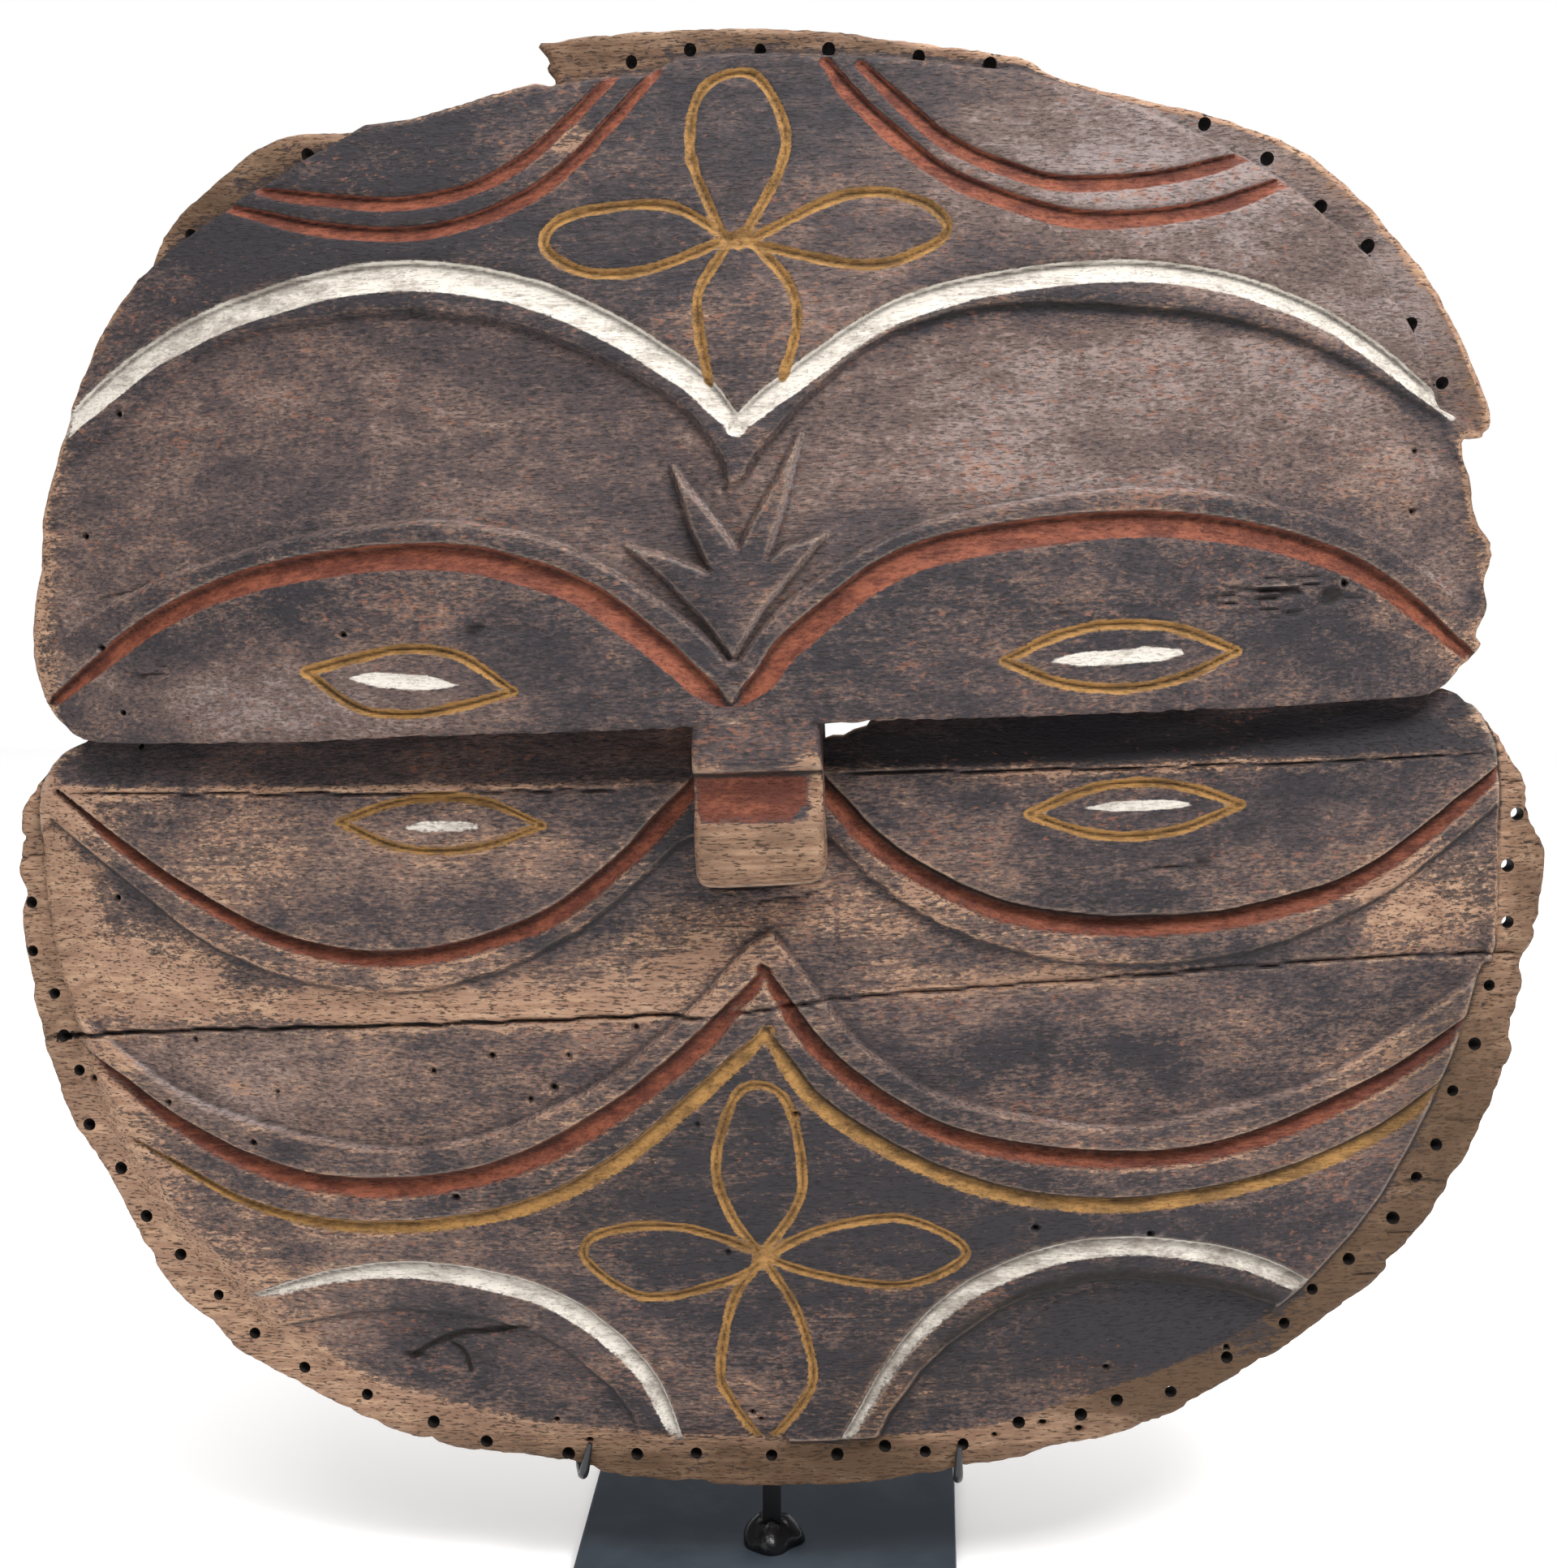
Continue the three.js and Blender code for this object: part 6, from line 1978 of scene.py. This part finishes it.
@dataclass
class Stand:
    """The steel stand: plate, post, weld, hooked rod and felt pad.

    edge_mm softens the bars' edges, and rod_gap_mm is left between the rod and the rim. A bend reaches
    bend_mm to either side of its corner. A hook says where it holds the rim, as u and v, and the x of
    its arm and of its tip.
    """

    edge_mm: float = 0.35
    sharp_deg: float = 40.0
    rod_mm: float = 2.4
    rod_sides: int = 20
    rod_gap_mm: float = 0.5
    bend_mm: float = 2.2
    bend_steps: int = 6
    hook_rise_mm: float = 7.5
    arm_rise_mm: float = 9.0
    hooks: tuple[tuple[float, float, float, float], ...] = (
        (-50.0, -189.3, -47.5, -43.6), (43.0, -191.2, 48.6, 49.0),
    )

    def build(self) -> list[bpy.types.Object]:
        """Builds and dresses every piece of the stand.

        Returns:
            The pieces.
        """
        plate_finish = PaintedSteel("satin_black_steel_plate", "#2f363f", "#414a53", 0.36, 0.8, 0.05)
        post_finish = PaintedSteel("black_steel_bar", "#08080a", "#111114", 0.42, 0.9, 0.05)
        weld_finish = PaintedSteel("black_paint_over_weld", "#060609", "#0f1015", 0.2, 1.6, 0.15)
        wire_finish = PaintedSteel("blackened_steel_wire", "#1c1d20", "#34353a", 0.3, 0.7, 0.03)
        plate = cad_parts["foot_plate"]
        self.dress(plate, plate_finish.build())
        return [
            plate,
            self.bar("square_post", "post", post_finish.build()),
            self.weld(weld_finish.build()),
            self.rod(wire_finish.build()),
            self.bar("felt_rest", "rest_pad", WoolFelt().build()),
        ]

    @staticmethod
    def dress(piece: bpy.types.Object, material: bpy.types.Material) -> None:
        """Gives a carried-over node its material."""
        for slot in piece.material_slots:
            slot.material = material

    def bar(self, name: str, node: str, material: bpy.types.Material) -> bpy.types.Object:
        """Makes a bar with softened edges in the place of a node.

        Args:
            name: Name of the piece.
            node: Node that it replaces.
            material: Its material.

        Returns:
            The piece.
        """
        low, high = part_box(node)
        bm = bmesh.new()
        bmesh.ops.create_cube(bm, size=1.0)
        bmesh.ops.scale(bm, verts=bm.verts, vec=high - low)
        bmesh.ops.translate(bm, verts=bm.verts, vec=(low + high) / 2)
        bmesh.ops.bevel(
            bm, geom=bm.edges[:], offset=self.edge_mm * MM, affect="EDGES", segments=3, profile=0.5,
            material=-1,
        )
        return self.keep(name, bm, material, node)

    def weld(self, material: bpy.types.Material) -> bpy.types.Object:
        """Makes the lumpy weld bead round the post's foot.

        Args:
            material: Its material.

        Returns:
            The piece.
        """
        low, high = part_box("weld_bead")
        centre = (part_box("post")[0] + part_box("post")[1]) / 2
        bm = bmesh.new()
        bmesh.ops.create_cone(
            bm, cap_ends=True, segments=40, radius1=1.0, radius2=0.48, depth=1.0,
            matrix=Matrix.Translation((0, 0, 0.5)),
        )
        bmesh.ops.subdivide_edges(bm, edges=bm.edges[:], cuts=5, use_grid_fill=True)
        height = high.z - low.z
        foot = min(high.x - centre.x, centre.x - low.x, high.y, -low.y) * 1.08
        for vert in bm.verts:
            turn = math.atan2(vert.co.y, vert.co.x)
            level = min(max(vert.co.z, 0.0), 1.0)
            lump = 1 + 0.08 * math.sin(3 * turn + 0.6) + 0.05 * math.sin(5 * turn + 2 + 3 * level)
            belly = 1 + 0.16 * math.sin(math.pi * level) - 0.2 * level**4
            reach = math.hypot(vert.co.x, vert.co.y)
            top = 0.9 + 0.1 * math.cos(4 * turn) if level > 0.95 and reach > 0.3 else 1.0
            vert.co.x = centre.x + vert.co.x * foot * lump * belly * 0.9
            vert.co.y = centre.y + vert.co.y * foot * lump * belly * 0.9
            vert.co.z = low.z + level * height * top
        bmesh.ops.recalc_face_normals(bm, faces=bm.faces)
        return self.keep("weld_fillet", bm, material, "weld_bead")

    def rod(self, material: bpy.types.Material) -> bpy.types.Object:
        """Bends the hooked rod along the same path as its solid.

        Args:
            material: Its material.

        Returns:
            The piece.
        """
        path = self.rod_path()
        bm = bmesh.new()
        radius = self.rod_mm / 2 * MM
        across = Vector((1, 0, 0))
        rings = []
        for i, point in enumerate(path):
            along = (path[min(i + 1, len(path) - 1)] - path[max(i - 1, 0)]).normalized()
            across = (across - along * across.dot(along)).normalized()
            turn = Matrix((across, along.cross(across), along)).transposed().to_4x4()
            ends = i in (0, len(path) - 1)
            ring = bmesh.ops.create_circle(
                bm, segments=self.rod_sides, radius=radius * (0.55 if ends else 1.0),
                matrix=Matrix.Translation(point) @ turn,
            )["verts"]
            rings.append(ring)
        for near, far in zip(rings, rings[1:]):
            edges = {edge for vert in (*near, *far) for edge in vert.link_edges}
            pair = [e for e in edges if all(v in near for v in e.verts) or all(v in far for v in e.verts)]
            bmesh.ops.bridge_loops(bm, edges=pair)
        for ring in (rings[0], rings[-1]):
            bmesh.ops.contextual_create(bm, geom=list(ring))
        bmesh.ops.recalc_face_normals(bm, faces=bm.faces)
        return self.keep("hooked_rod", bm, material, "hook_rod")

    def rod_path(self) -> list[Vector]:
        """Gives the rod's middle line, with rounded bends, in metres.

        Returns:
            Places along the line, in order.
        """
        post_low, post_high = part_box("post")
        radius = self.rod_mm / 2
        gap = radius + self.rod_gap_mm
        centre_x = ((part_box("foot_plate")[0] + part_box("foot_plate")[1]) / 2).x / MM
        rod_y = post_low.y / MM - radius
        arms = []
        for u, v, arm_x, tip_x in self.hooks:
            rim = float(DOME.rim(np.array(u), np.array(v)))
            front = CARVING.placement() @ Vector((u, v, rim)) / MM
            back = CARVING.placement() @ Vector((u, v, rim - DOME.rim_thickness)) / MM
            arm, tip = arm_x + centre_x, tip_x + centre_x
            arms.append([
                Vector((tip, front.y - gap, front.z + self.hook_rise_mm)),
                Vector(((tip + arm) / 2, front.y - gap, front.z - gap)),
                Vector((arm, back.y + gap, back.z - gap)),
                Vector((arm, rod_y, back.z + self.arm_rise_mm)),
            ])
        stops = [*arms[0], *reversed(arms[1])]
        path = [stops[0]]
        for before, corner, after in zip(stops, stops[1:], stops[2:]):
            enter = corner + (before - corner).normalized() * self.bend_mm
            leave = corner + (after - corner).normalized() * self.bend_mm
            for i in range(self.bend_steps + 1):
                share = i / self.bend_steps
                path.append((1 - share) ** 2 * enter + 2 * share * (1 - share) * corner + share**2 * leave)
        path.append(stops[-1])
        return [point * MM for point in path]

    def keep(self, name: str, bm: bmesh.types.BMesh, material: bpy.types.Material,
             node: str) -> bpy.types.Object:
        """Puts a finished bmesh into the scene in a node's place.

        Args:
            name: Name of the piece.
            bm: Its mesh, which is freed.
            material: Its material.
            node: Node that it replaces.

        Returns:
            The piece.
        """
        mesh = bpy.data.meshes.new(name)
        bm.to_mesh(mesh)
        bm.free()
        mesh.shade_smooth()
        mesh.set_sharp_from_angle(angle=math.radians(self.sharp_deg))
        mesh.materials.append(material)
        piece = bpy.data.objects.new(name, mesh)
        bpy.context.scene.collection.objects.link(piece)
        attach(piece, "root")
        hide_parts(node)
        return piece


# Floor, light and camera


@dataclass(frozen=True)
class Lamp:
    """A soft square lamp: its name, its place and side in metres, and its power in watts."""

    name: str
    place: tuple[float, float, float]
    size: float
    power: float

    def hang(self, target: Vector) -> None:
        """Hangs the lamp.

        Args:
            target: Place that it faces, in metres.
        """
        light = bpy.data.lights.new(self.name, "AREA")
        light.size = self.size
        light.energy = self.power
        lamp = bpy.data.objects.new(self.name, light)
        lamp.location = self.place
        lamp.rotation_euler = (target - Vector(self.place)).to_track_quat("-Z", "Y").to_euler()
        bpy.context.scene.collection.objects.link(lamp)


@dataclass
class Studio:
    """A pale floor, soft lamps and the camera.

    Attributes:
        lamps: The lamps.
        target_m: Place that they face, in metres.
        floor_half_m: Half the side of the floor.
        sky_tone: Colour of the surround.
        sky_light: How much light the surround gives.
        focal_px: Focal length, in pixels of the photograph.
        image_height_px: Height of the photograph.
        sensor_mm: Size of the camera's sensor.
        camera_mm: Place of the camera from the mask's origin.
        view: Direction in which it looks.
    """

    lamps: tuple[Lamp, ...] = (
        Lamp("overhead", (0.1, -0.25, 1.9), 2.4, 62.0),
        Lamp("key", (0.6, -0.7, 1.3), 0.4, 13.0),
        Lamp("fill", (-1.0, -1.2, 0.5), 1.0, 2.5),
    )
    target_m: tuple[float, float, float] = (0.0, 0.0, 0.2)
    floor_half_m: float = 1.1
    sky_tone: str = "#ffffff"
    sky_light: float = 0.16
    focal_px: float = 3000.0
    image_height_px: float = 1932.0
    sensor_mm: float = 36.0
    camera_mm: tuple[float, float, float] = (38.69, -575.82, 102.24)
    view: tuple[float, float, float] = (-0.05810, 0.97785, -0.20108)

    def build(self) -> None:
        """Builds the floor, the lamps, the sky and the camera."""
        self.floor()
        self.sky()
        for lamp in self.lamps:
            lamp.hang(Vector(self.target_m))
        self.camera()

    def floor(self) -> None:
        """Lays the pale floor."""
        bm = bmesh.new()
        bmesh.ops.create_grid(bm, x_segments=1, y_segments=1, size=self.floor_half_m)
        mesh = bpy.data.meshes.new("pale_floor")
        bm.to_mesh(mesh)
        bm.free()
        mesh.materials.append(MattWhite().build())
        floor = bpy.data.objects.new("pale_floor", mesh)
        bpy.context.scene.collection.objects.link(floor)

    def sky(self) -> None:
        """Sets an even white surround, seen white but giving only a part of the light."""
        scene = bpy.context.scene
        scene.view_settings.view_transform = "Standard"
        world = bpy.data.worlds.new("white_surround")
        world.use_nodes = True
        tree = world.node_tree
        shade = tree.nodes["Background"]
        shade.inputs["Color"].default_value = colour(self.sky_tone)
        seen = tree.nodes.new("ShaderNodeLightPath").outputs["Is Camera Ray"]
        strength = tree.nodes.new("ShaderNodeMapRange")
        strength.inputs["To Min"].default_value = self.sky_light
        strength.inputs["To Max"].default_value = 1.0
        tree.links.new(seen, strength.inputs["Value"])
        tree.links.new(strength.outputs[0], shade.inputs["Strength"])
        scene.world = world

    def camera(self) -> None:
        """Sets the camera where the photograph was taken from."""
        data = bpy.data.cameras.new("camera")
        data.sensor_width = self.sensor_mm
        data.lens = self.focal_px * self.sensor_mm / self.image_height_px
        data.clip_start = 0.01
        camera = bpy.data.objects.new("camera", data)
        camera.location = CARVING.origin() + Vector(self.camera_mm) * MM
        camera.rotation_euler = Vector(self.view).to_track_quat("-Z", "Y").to_euler()
        bpy.context.scene.collection.objects.link(camera)
        bpy.context.scene.camera = camera


def main() -> None:
    """Builds every sub-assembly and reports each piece."""
    logging.basicConfig(level=logging.INFO, format="%(message)s")
    log = logging.getLogger("mask")
    Studio().build()
    for piece in (DiscMask().build(), *Stand().build()):
        log.info("%s: %d faces", piece.name, len(piece.data.polygons))


if __name__ == "__main__":
    main()
